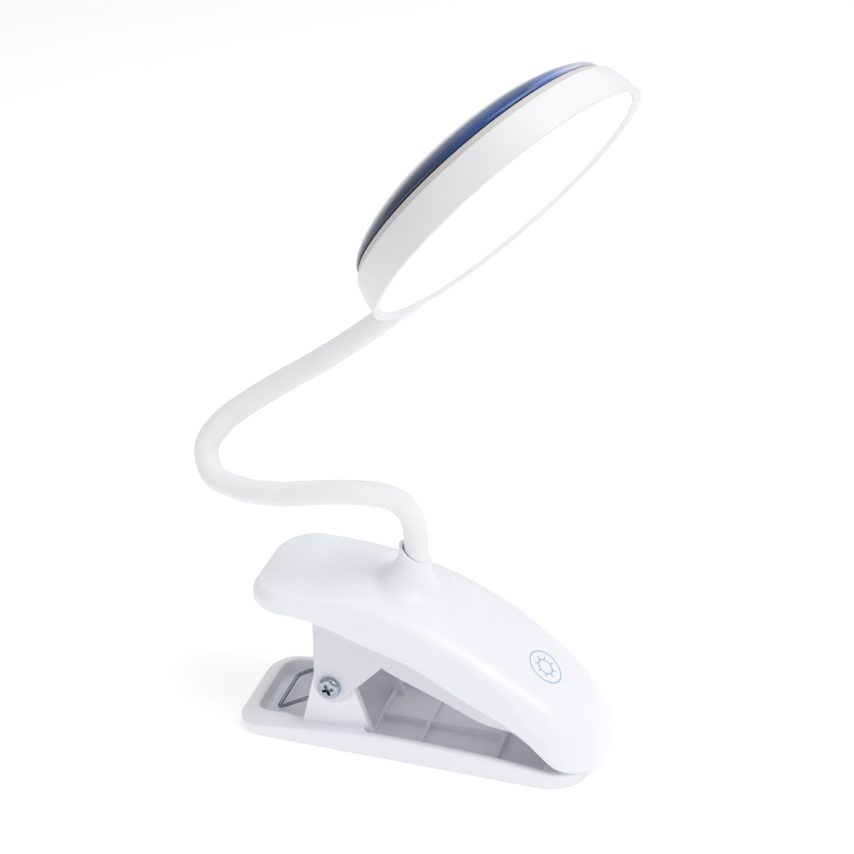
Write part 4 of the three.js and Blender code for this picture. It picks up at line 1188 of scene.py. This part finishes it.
class LAMP_OT_fasteners(bpy.types.Operator):
    """Pivot tube and the cross-head screws of the hinge and the under cover"""
    bl_idname = "lamp.fasteners"
    bl_label = "Pivot and screws"

    def execute(self, context):
        low, high = corners("pivot_tube")
        inner, outer = PIVOT_BORE, 4.0
        profile = eased_loop([[inner, low[1]], [outer, low[1]], [outer, high[1]], [inner, high[1]]], 0.3)
        axes = (X_AXIS, -Z_AXIS, Y_AXIS)
        made = new_mesh("pivot_sleeve", turned(profile, (PIVOT[0], 0, PIVOT[2]), axes, 64))
        finish_piece(made, "zinc_plated_steel", "lower_jaw", "zinc_steel", "pivot_tube")
        for side, node in ((-1, "pivot_screw_left"), (1, "pivot_screw_right")):
            low, high = corners(node)
            seat = max(abs(low[1]), abs(high[1])) - HINGE_SCREW[1]
            length = np.ptp([low[1], high[1]]) - HINGE_SCREW[1]
            origin = np.array([PIVOT[0], side * seat, PIVOT[2]])
            axes = (X_AXIS, -side * Z_AXIS, side * Y_AXIS)
            screw(node.replace("pivot", "hinge"), node, "lower_jaw", origin, axes, HINGE_SCREW, length)
        for node in COVER_SCREWS:
            low, high = corners(node)
            middle = (low + high) / 2
            origin = np.array([middle[0], middle[1], low[2] + COVER_SCREW[1]])
            axes = (X_AXIS, -Y_AXIS, -Z_AXIS)
            length = high[2] - low[2] - COVER_SCREW[1]
            screw(node + "_head", node, "upper_jaw", origin, axes, COVER_SCREW, length)
        return {"FINISHED"}


# ---------------------------------------------------------------- spring
COIL_RADIUS = 5.3
COIL_TURNS = 4
COIL_PITCH = 1.65
COIL_STEPS = 36  # points in each turn
LEG_Y = 9.2
BAR_X = -44.4
BAR_Z = 4.65
BAR_BEND = 1.9  # length of the rounded corner between a leg and the bar
WIRE_FACETS = 16


def half_spring(side):
    """One side of the spring from the bar to the coil's inner end.

    The coil is a helix about the pivot, and its leg leaves it on the tangent to the bar's corner.
    """
    x, z = PIVOT[0], PIVOT[2]
    foot = np.arctan2(BAR_Z - z, BAR_X - x)
    reach = np.hypot(BAR_Z - z, BAR_X - x)
    start = foot + np.arccos(COIL_RADIUS / reach)
    t = np.linspace(0, COIL_TURNS, COIL_TURNS * COIL_STEPS)
    angle = start + 2 * np.pi * t
    coil = np.stack([
        x + COIL_RADIUS * np.cos(angle), side * (LEG_Y - COIL_PITCH * t), z + COIL_RADIUS * np.sin(angle),
    ], 1)
    corner = np.array([BAR_X, side * LEG_Y, BAR_Z])
    leg_share = np.linspace(0, 0.9, 20)[1:, None]
    leg = coil[0] * (1 - leg_share) + corner * leg_share
    turn_share = np.linspace(0, 1, 9)[1:, None]
    into = corner - np.array([0, side * BAR_BEND, 0])
    bend = (1 - turn_share) ** 2 * leg[-1] + 2 * turn_share * (1 - turn_share) * corner + turn_share**2 * into
    return np.vstack([coil[::-1], leg, bend])


class LAMP_OT_spring(bpy.types.Operator):
    """Torsion spring: a coil each side of the pivot, two legs joined by a bar in the pocket, and two arms"""
    bl_idname = "lamp.spring"
    bl_label = "Spring"

    def execute(self, context):
        wire = sizes("lamp_clip").wire
        left, right = half_spring(-1), half_spring(1)
        bar = np.linspace(left[-1], right[-1], 12)[1:-1]
        path = np.vstack([left, bar, right[::-1]])
        leg = np.array([BAR_X - PIVOT[0], 0, BAR_Z - PIVOT[2]])
        flat = np.cross(leg / np.linalg.norm(leg), Y_AXIS)
        from_bar = np.abs(np.linspace(-1, 1, len(path)))
        mix = smooth_step(from_bar, 0.12, 0.2)[:, None]
        reference = flat * (1 - mix) + Y_AXIS * mix
        made = new_mesh("torsion_spring", tube(path, wire, WIRE_FACETS, reference))
        finish_piece(made, "oiled_spring_steel", "lower_jaw", "spring_wire", "clip_spring")
        for node in ("spring_arm_left", "spring_arm_right"):
            low, high = corners(node)
            y = (low[1] + high[1]) / 2
            rise = high[2] - low[2]
            knots = [[low[0] + wire, y, low[2]], [low[0] + wire, y, low[2] + rise * 0.3],
                     [low[0] + wire + 1.5, y, high[2] - 4.5], [high[0] - wire, y, high[2] - 0.3]]
            hook = tube(catmull_rom(knots, 12, 0.5), wire, WIRE_FACETS, Y_AXIS)
            made = new_mesh(node.replace("arm", "hook"), hook)
            finish_piece(made, "oiled_spring_steel", "upper_jaw", "spring_wire", node)
        return {"FINISHED"}


# ---------------------------------------------------------------- neck
# The neck's centre line from the socket's mouth: up out of the socket, back over the finger pad, round the
# loop behind it and forward and up to the head.
NECK_KNOTS = [
    [0, 0, -8.5], [0.1, 0, 6.5], [-1.6, -1, 14], [-6, -3, 19], [-15.4, -6, 21], [-26.6, -7.5, 20],
    [-39, -7.5, 17.4], [-51, -6, 16], [-62.3, -2.5, 17.4], [-65.9, 2, 24.4], [-61.9, 6, 31.2],
    [-55.1, 10, 36.6], [-46.3, 15, 42.2], [-35.5, 20.5, 48.6], [-25.3, 25.4, 55.6], [-14.4, 27.9, 64.7],
    [-11.5, 26.8, 68.5], [-9, 25.9, 71.9],
]
NECK_STEP = 0.6  # length between two rings of the sleeve
COLLAR_SEAT = 3.0  # how deep the sleeve sits in the head's collar
BENDS = ("neck_root_bend", "neck_side_bend", "neck_loop_bend", "head_tilt")
BEND_REACH = (6.0, 11.0, 11.0, 11.0)  # how far each bend spreads along the sleeve, each way


def neck_line():
    """The neck's centre line: the centripetal Catmull-Rom curve through its knots, in equal steps."""
    knots = np.array(NECK_KNOTS) + [NECK_X, 0, SOCKET_MOUTH_Z]
    return by_length(catmull_rom(knots, 40, 0.5), NECK_STEP)


def nearest(path, point):
    """Index of the path's point nearest to a point."""
    return int(np.argmin(np.linalg.norm(path - point, axis=1)))


class LAMP_OT_neck(bpy.types.Operator):
    """Bendable neck: one silicone sleeve in four lengths, each of which runs across one joint"""
    bl_idname = "lamp.neck"
    bl_label = "Neck"

    def execute(self, context):
        neck = sizes("lamp_neck")
        path = neck_line()
        stop = len(path) - 1 - int(round(COLLAR_SEAT / NECK_STEP))
        at = [nearest(path, joint_place(name)[0]) for name in BENDS]
        cuts = [0] + [(a + b) // 2 for a, b in zip(at[:-1], at[1:])] + [stop]
        for i, name in enumerate(BENDS):
            span = slice(cuts[i], cuts[i + 1] + 1)
            sleeve = tube(path, neck.radius, neck.facets, Y_AXIS, neck.radius - neck.wall, span)
            made = new_mesh(f"neck_sleeve_bend_{i + 1}", sleeve)
            nodes = [f"neck_sleeve_{i + 1}"] + (["neck_sleeve_5"] if i == len(BENDS) - 1 else [])
            finish_piece(made, "extruded_silicone", None, "silicone_sleeve", *nodes, sharp=50)
            along = path[min(at[i] + 2, len(path) - 1)] - path[max(at[i] - 2, 0)]
            along = along / np.linalg.norm(along) * BEND_REACH[i]
            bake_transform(made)
        return {"FINISHED"}


# ---------------------------------------------------------------- head
def head_frame():
    """Centre of the ring's front lip, and the head's axes: along the collar, across, and out of the face."""
    disc = node_points("diffuser")
    middle = disc.mean(0)
    z_axis = np.linalg.svd(disc - middle, full_matrices=False)[2][2]
    back = node_points("rear_cover").mean(0)
    z_axis = z_axis * np.sign((middle - back) @ z_axis)
    y_axis = joint_place("head_tilt")[1]
    y_axis = y_axis - (y_axis @ z_axis) * z_axis
    y_axis /= np.linalg.norm(y_axis)
    x_axis = np.cross(y_axis, z_axis)
    lip = (node_points("head_ring") @ z_axis).max()
    return middle + (lip - middle @ z_axis) * z_axis, x_axis, y_axis, z_axis


def node_extent(node, axis):
    """Lowest and highest reach of a node along an axis."""
    reach = node_points(node) @ axis
    return reach.min(), reach.max()


def head_part(name, profile, material, slot, node, sharp=32):
    centre, x_axis, y_axis, z_axis = head_frame()
    made = new_mesh(name, turned(profile, centre, (x_axis, y_axis, z_axis), sizes("lamp_head").facets))
    return finish_piece(made, material, "head", slot, node, sharp=sharp)


def ring_outer(z):
    """Outer radius of the head's ring, which shrinks evenly towards its rear edge."""
    head = sizes("lamp_head")
    return head.radius + head.ring_taper * z / head.ring_depth


def dome_rows(rim, base, start, end, inset, steps):
    """The back's dome: radius times the cosine of an angle, and the rise times its sine to the power 1.2."""
    rise = sizes("lamp_head").dome_rise
    a = np.linspace(start, end, steps)
    rows = np.stack([(rim - inset) * np.cos(a), base - (rise - inset) * np.sin(a) ** 1.2], 1)
    rows[:, 0] = np.where(np.cos(a) < 1e-6, 0, rows[:, 0])
    return rows


LEDGE_Z, LEDGE_REACH, LEDGE_THICKNESS = -2.9, 1.4, 1.2  # the ring's inner ledge, behind the diffuser
RING_SWELL = 0.5  # how much the ring's rear half stands out over its even taper
FACE_Z, FACE_BACK = -0.8, -2.6  # the diffuser's front and back
DOME_SKIN = 1.8
DOME_SEAT = 0.4  # height of the dome's upright foot
FRAME_DROP = 1.9  # how far the rear frame's step stands out behind the ring
COLLAR_RADIUS, COLLAR_LENGTH, COLLAR_FLANGE = 5.2, 8, 0.7


def ring_profile(wall, back):
    """The head's ring: a tapered band with a ledge inside for the diffuser."""
    inside = ring_outer(LEDGE_Z) - wall
    under = LEDGE_Z - LEDGE_THICKNESS
    return eased_loop([
        [ring_outer(back) - wall, back], [ring_outer(back) + RING_SWELL, back],
        [ring_outer(back / 2) + RING_SWELL, back / 2], [ring_outer(0), 0], [ring_outer(0) - wall + 0.25, 0],
        [inside, LEDGE_Z], [inside - LEDGE_REACH, LEDGE_Z], [inside - LEDGE_REACH, under],
        [ring_outer(under) - wall, under],
    ], 0.55)


def diffuser_profile(wall):
    """The lit disc: its face sinks a little as the radius squared and rolls over at the rim."""
    rim = ring_outer(FACE_Z) - wall - 0.12
    r = np.linspace(0, 1, 30)
    face = np.stack([rim * r, FACE_Z - 0.15 * r**2 - 0.25 * np.maximum(0, r - 0.985) / 0.015], 1)
    return np.vstack([[[0, FACE_BACK], [rim - 0.8, FACE_BACK], [rim - 0.5, FACE_BACK + 0.2]], face[::-1]])


def rear_frame_profile(wall, back):
    """The rear frame: a plug inside the ring and a narrower step behind it, whose grey finish is painted
    shade and reads as a dark line.
    """
    step, inner = ring_outer(back) - 1.2, ring_outer(back) - wall - GAP
    return eased([
        [0, back - 0.6], [step - 2.4, back - FRAME_DROP], [step - 0.35, back - FRAME_DROP],
        [step, back - 0.04], [inner, back - 0.04], [inner, back + 1.2], [inner - 2, back + 1.2],
        [inner - 2, back + 1.0], [0, back + 1.0],
    ], 0.25)


def dome_profiles(back):
    """The domed back as two pieces, the blue ring and the white cap, split at the cap's edge."""
    head = sizes("lamp_head")
    base, edge = back - FRAME_DROP - GAP, ring_outer(back) - 1.65
    foot = base - DOME_SEAT
    split = np.arccos((head.radius - head.cap_inset) / edge)
    outside = dome_rows(edge, foot, 0.04, split, 0, 18)[::-1]
    inside = dome_rows(edge, foot, 0.0, split, DOME_SKIN, 10)
    blue = np.vstack([[[edge - 0.2, base], [edge - DOME_SKIN, base]], inside, outside, [[edge, base - 0.2]]])
    start = split + 0.012
    outside = dome_rows(edge, foot, start, np.pi / 2, 0, 34)
    outside[0] += [0, 0.12]
    inside = dome_rows(edge, foot, start, np.pi / 2, DOME_SKIN, 12)
    return blue, np.vstack([outside[::-1], inside])


def collar_profile(wall):
    """The neck's collar: a bored sleeve with a seat for the neck and a narrow stem through the ring."""
    outer, bore = sizes("lamp_head").radius, sizes("lamp_neck").radius + GAP
    root, flange = outer - wall + GAP, outer + COLLAR_FLANGE
    end, seat = outer + COLLAR_LENGTH, outer + COLLAR_SEAT
    return eased_loop([
        [CORE_BORE, root], [3.9, root], [3.9, flange], [COLLAR_RADIUS, flange],
        [COLLAR_RADIUS - 0.25, end], [bore, end], [bore, seat], [CORE_BORE, seat],
    ], 0.45)


class LAMP_OT_head(bpy.types.Operator):
    """Head: tapered ring, lit diffuser, stepped rear frame, blue ring, white cap and the neck's collar"""
    bl_idname = "lamp.head"
    bl_label = "Head"

    def execute(self, context):
        head = sizes("lamp_head")
        wall, back = head.ring_wall, -head.ring_depth
        blue, cap = dome_profiles(back)
        opal, rear = diffuser_profile(wall), rear_frame_profile(wall, back)
        head_part("head_ring_shell", ring_profile(wall, back), "satin_ring_abs", "white_abs", "head_ring")
        head_part("lit_diffuser", opal, "lit_opal_acrylic", "opal_diffuser", "diffuser")
        # The rear frame's grey finish is painted shade on its step.
        head_part("stepped_rear_frame", rear, "grey_abs", "inner_abs", "rear_frame")
        head_part("blue_rear_ring", blue, "polished_blue_acrylic", "blue_acrylic", "rear_cover", 50)
        head_part("white_rear_cap", cap, "moulded_white_abs", "white_abs", "rear_cap", 50)
        centre, x_axis, y_axis, z_axis = head_frame()
        origin = centre + (sum(node_extent("head_collar", z_axis)) / 2 - centre @ z_axis) * z_axis
        made = new_mesh("neck_collar", turned(collar_profile(wall), origin, (y_axis, z_axis, x_axis), 72))
        finish_piece(made, "moulded_white_abs", "head", "white_abs", "head_collar")
        return {"FINISHED"}


# ---------------------------------------------------------------- printed mark
INK_HALF = 0.2  # half the width of a printed line
INK_TOP, INK_ROOT = 0.035, -0.05  # the ink's top and its root under the skin
MARK_RADII = (5.7, 2.55)
RAY_START, RAY_END, RAYS = 2.7, 3.95, 8


def stroke(start, end, half, slope, steps):
    """A flat line of ink from start to end: a thin strip laid on the lever's surface."""
    t = np.linspace(0, 1, steps)[:, None]
    line = np.asarray(start) * (1 - t) + np.asarray(end) * t
    across = np.array([start[1] - end[1], end[0] - start[0]])
    return ribbon(line, across / np.linalg.norm(across) * half, slope)


def ribbon(line, across, slope):
    """Four edges carried along a line on the slope: two at the ink's top and two just under the skin."""
    rows = []
    for side, depth in ((-1, INK_TOP), (1, INK_TOP), (1, INK_ROOT), (-1, INK_ROOT)):
        flat = line + across * side
        x, y = MARK_X + flat[:, 0] * slope, flat[:, 1]
        height = lever_top(x, y, LEVER_HALF - np.abs(y)) + depth
        rows.append(np.column_stack([x, y, height]))
    return np.stack(rows, 1)


class LAMP_OT_printed_mark(bpy.types.Operator):
    """Printed sun mark over the touch switch: two rings and eight short rays of pale blue ink"""
    bl_idname = "lamp.printed_mark"
    bl_label = "Printed mark"

    def execute(self, context):
        rise = np.ptp(lever_top(np.array([MARK_X - 1, MARK_X + 1]), np.zeros(2), np.full(2, LEVER_HALF)))
        slope = 1 / math.hypot(1, rise / 2)
        turn = np.linspace(0, 2 * np.pi, 97)[:-1]
        circle = np.stack([np.cos(turn), np.sin(turn)], 1)
        parts = [
            grid(ribbon(circle * radius, circle * INK_HALF, slope), wrap_rows=True)
            for radius in MARK_RADII
        ]
        for a in np.arange(RAYS) * np.pi / 4 + np.pi / 8:
            ray = np.array([np.cos(a), np.sin(a)])
            parts.append(grid(stroke(ray * RAY_START, ray * RAY_END, INK_HALF, slope, 4), caps=True))
        made = new_mesh("printed_sun_mark", merged(parts))
        finish_piece(made, "pad_printed_ink", "upper_jaw", "white_abs")
        return {"FINISHED"}


# ---------------------------------------------------------------- electronics
class LAMP_OT_charging_port(bpy.types.Operator):
    """Charging socket: a folded steel slot with a contact tongue, and the light pipe beside it"""
    bl_idname = "lamp.charging_port"
    bl_label = "Charging port"

    def execute(self, context):
        half_x, half_z, place = node_in_tray("charging_socket")
        low, high = corners("charging_socket")
        made = new_mesh("charging_port", slab(stadium(half_x, half_z), low[1], high[1], 0.12, place))
        hollow = slab(stadium(half_x - 0.4, half_z - 0.4), high[1] - 4.5, high[1] + 2, 0.01, place, 1)
        combine(made, [hollow], "DIFFERENCE")
        tongue = slab(
            rounded_polygon([[-2.2, -0.3], [2.2, -0.3], [2.2, 0.3], [-2.2, 0.3]], [0.1] * 4, 3),
            high[1] - 4.6, high[1] - 0.9, 0.08, place, 2,
        )
        combine(made, [tongue], "UNION")
        finish_piece(made, "zinc_plated_steel", "upper_jaw", "zinc_steel", "charging_socket")
        half_x, _, place = node_in_tray("charge_light")
        low, high = corners("charge_light")
        round_end = stadium(half_x, half_x - 0.001, 24)
        pipe = new_mesh("charge_light_pipe", slab(round_end, low[1], high[1], 0.3, place))
        finish_piece(pipe, "clear_acrylic", "upper_jaw", "clear_acrylic", "charge_light")
        return {"FINISHED"}


INNER_FINISHES = {
    "touch_plate": "pressed_brass", "neck_nut": "pressed_brass", "control_board": "solder_mask",
    "battery_cell": "foil_pouch", "reflector": "gloss_reflector", "led_board": "gloss_reflector",
}


class LAMP_OT_inner_parts(bpy.types.Operator):
    """Finishes for the parts inside: board, cell, touch plate, LEDs, reflector, steel core and screws"""
    bl_idname = "lamp.inner_parts"
    bl_label = "Inner parts"

    def execute(self, context):
        for name, node in frame["nodes"].items():
            if node.hide_render:
                continue
            material = INNER_FINISHES.get(name)
            if name.startswith("led_") and name != "led_board":
                material = "led_phosphor"
            elif name.startswith("neck_core"):
                material = "oiled_spring_steel"
            elif name.startswith("head_screw"):
                material = "zinc_plated_steel"
            if material is None:
                raise RuntimeError(f"{name} has no finish")
            node.data.materials.clear()
            node.data.materials.append(finish(material))
        return {"FINISHED"}


# ---------------------------------------------------------------- stage
CAMERA_PLACE = (0.1482, -0.4807, 0.3756)
CAMERA_TURN = (61.8, 0.0, 17.0)
CAMERA_LENS = 84.3
FLOOR_HALF = 12.0
LIGHT_TARGET = (0.0, 0.0, 0.08)
LIGHTS = (  # name, place in metres, size and power
    ("key", (0.75, -0.15, 0.95), 0.7, 4.2),
    ("fill", (0.1, 0.9, 1.0), 0.9, 1.6),
    ("top", (0.1, 0.05, 1.2), 0.8, 3.2),
    ("front", (-0.35, -0.8, 0.22), 0.6, 0.7),
)


def area_light(name, place, size, power):
    """A round soft light that faces the lamp."""
    data = bpy.data.lights.new(name, "AREA")
    data.shape = "DISK"
    data.size = size
    data.energy = power
    made = bpy.data.objects.new(name, data)
    made.location = place
    made.rotation_euler = (Vector(LIGHT_TARGET) - Vector(place)).to_track_quat("-Z", "Y").to_euler()
    bpy.context.scene.collection.objects.link(made)


class LAMP_OT_stage(bpy.types.Operator):
    """Pale seamless floor, soft studio light and the camera"""
    bl_idname = "lamp.stage"
    bl_label = "Stage"

    def execute(self, context):
        scene = context.scene
        data = bpy.data.meshes.new("studio_floor")
        edges = [(x * FLOOR_HALF, y * FLOOR_HALF, 0) for x, y in ((-1, -1), (1, -1), (1, 1), (-1, 1))]
        data.from_pydata(edges, [], [(0, 1, 2, 3)])
        floor = bpy.data.objects.new("studio_floor", data)
        scene.collection.objects.link(floor)
        material, tree = blank_material("studio_paper")
        speck = grained(tree, 2)
        tone = two_tone(tree, speck, (0.86, 0.86, 0.86), (0.88, 0.88, 0.88))
        surface(
            tree, tone, speck, 0.02, 0.0001, 0.9,
            IOR=1.45, Specular_IOR_Level=0.1, Emission_Color=(1, 1, 1, 1), Emission_Strength=0.3,
        )
        floor.data.materials.append(material)
        world = bpy.data.worlds.new("studio")
        world.use_nodes = True
        world.node_tree.nodes["Background"].inputs["Color"].default_value = (1, 1, 1, 1)
        world.node_tree.nodes["Background"].inputs["Strength"].default_value = 0.5
        scene.world = world
        for light in LIGHTS:
            area_light(*light)
        scene.view_settings.view_transform = "Standard"
        scene.view_settings.look = "None"
        camera = bpy.data.objects.new("camera", bpy.data.cameras.new("camera"))
        camera.data.sensor_width = 36
        camera.data.lens = CAMERA_LENS
        camera.data.clip_start = 0.01
        camera.location = CAMERA_PLACE
        camera.rotation_euler = Euler([math.radians(a) for a in CAMERA_TURN])
        scene.collection.objects.link(camera)
        scene.camera = camera
        return {"FINISHED"}


# ---------------------------------------------------------------- panel, registering and running
OPERATORS = (
    LAMP_OT_stage, LAMP_OT_lower_jaw, LAMP_OT_grip_strips, LAMP_OT_lever, LAMP_OT_under_cover,
    LAMP_OT_fasteners, LAMP_OT_spring, LAMP_OT_neck, LAMP_OT_head, LAMP_OT_printed_mark,
    LAMP_OT_charging_port, LAMP_OT_inner_parts,
)
GROUPS = {
    "lamp_clip": LampClipSizes, "lamp_head": LampHeadSizes, "lamp_neck": LampNeckSizes,
    "lamp_colours": LampColours,
}


class LAMP_PT_panel(bpy.types.Panel):
    """Lists the pieces of the lamp in the order in which they are made"""
    bl_idname = "LAMP_PT_panel"
    bl_label = "Clip-on reading lamp"
    bl_space_type = "VIEW_3D"
    bl_region_type = "UI"
    bl_category = "Lamp"

    def draw(self, context):
        for group in GROUPS:
            for name in getattr(context.scene, group).bl_rna.properties.keys():
                if name not in {"rna_type", "name"}:
                    self.layout.prop(getattr(context.scene, group), name)
        for operator in OPERATORS:
            self.layout.operator(operator.bl_idname)


def register():
    for group, kind in GROUPS.items():
        bpy.utils.register_class(kind)
        setattr(bpy.types.Scene, group, PointerProperty(type=kind))
    for operator in OPERATORS:
        bpy.utils.register_class(operator)
    bpy.utils.register_class(LAMP_PT_panel)


def unregister():
    bpy.utils.unregister_class(LAMP_PT_panel)
    for operator in reversed(OPERATORS):
        bpy.utils.unregister_class(operator)
    for group, kind in GROUPS.items():
        delattr(bpy.types.Scene, group)
        bpy.utils.unregister_class(kind)


def main():
    register()
    for operator in OPERATORS:
        family, name = operator.bl_idname.split(".")
        getattr(getattr(bpy.ops, family), name)()
    bpy.context.view_layer.update()


if __name__ == "__main__":
    main()
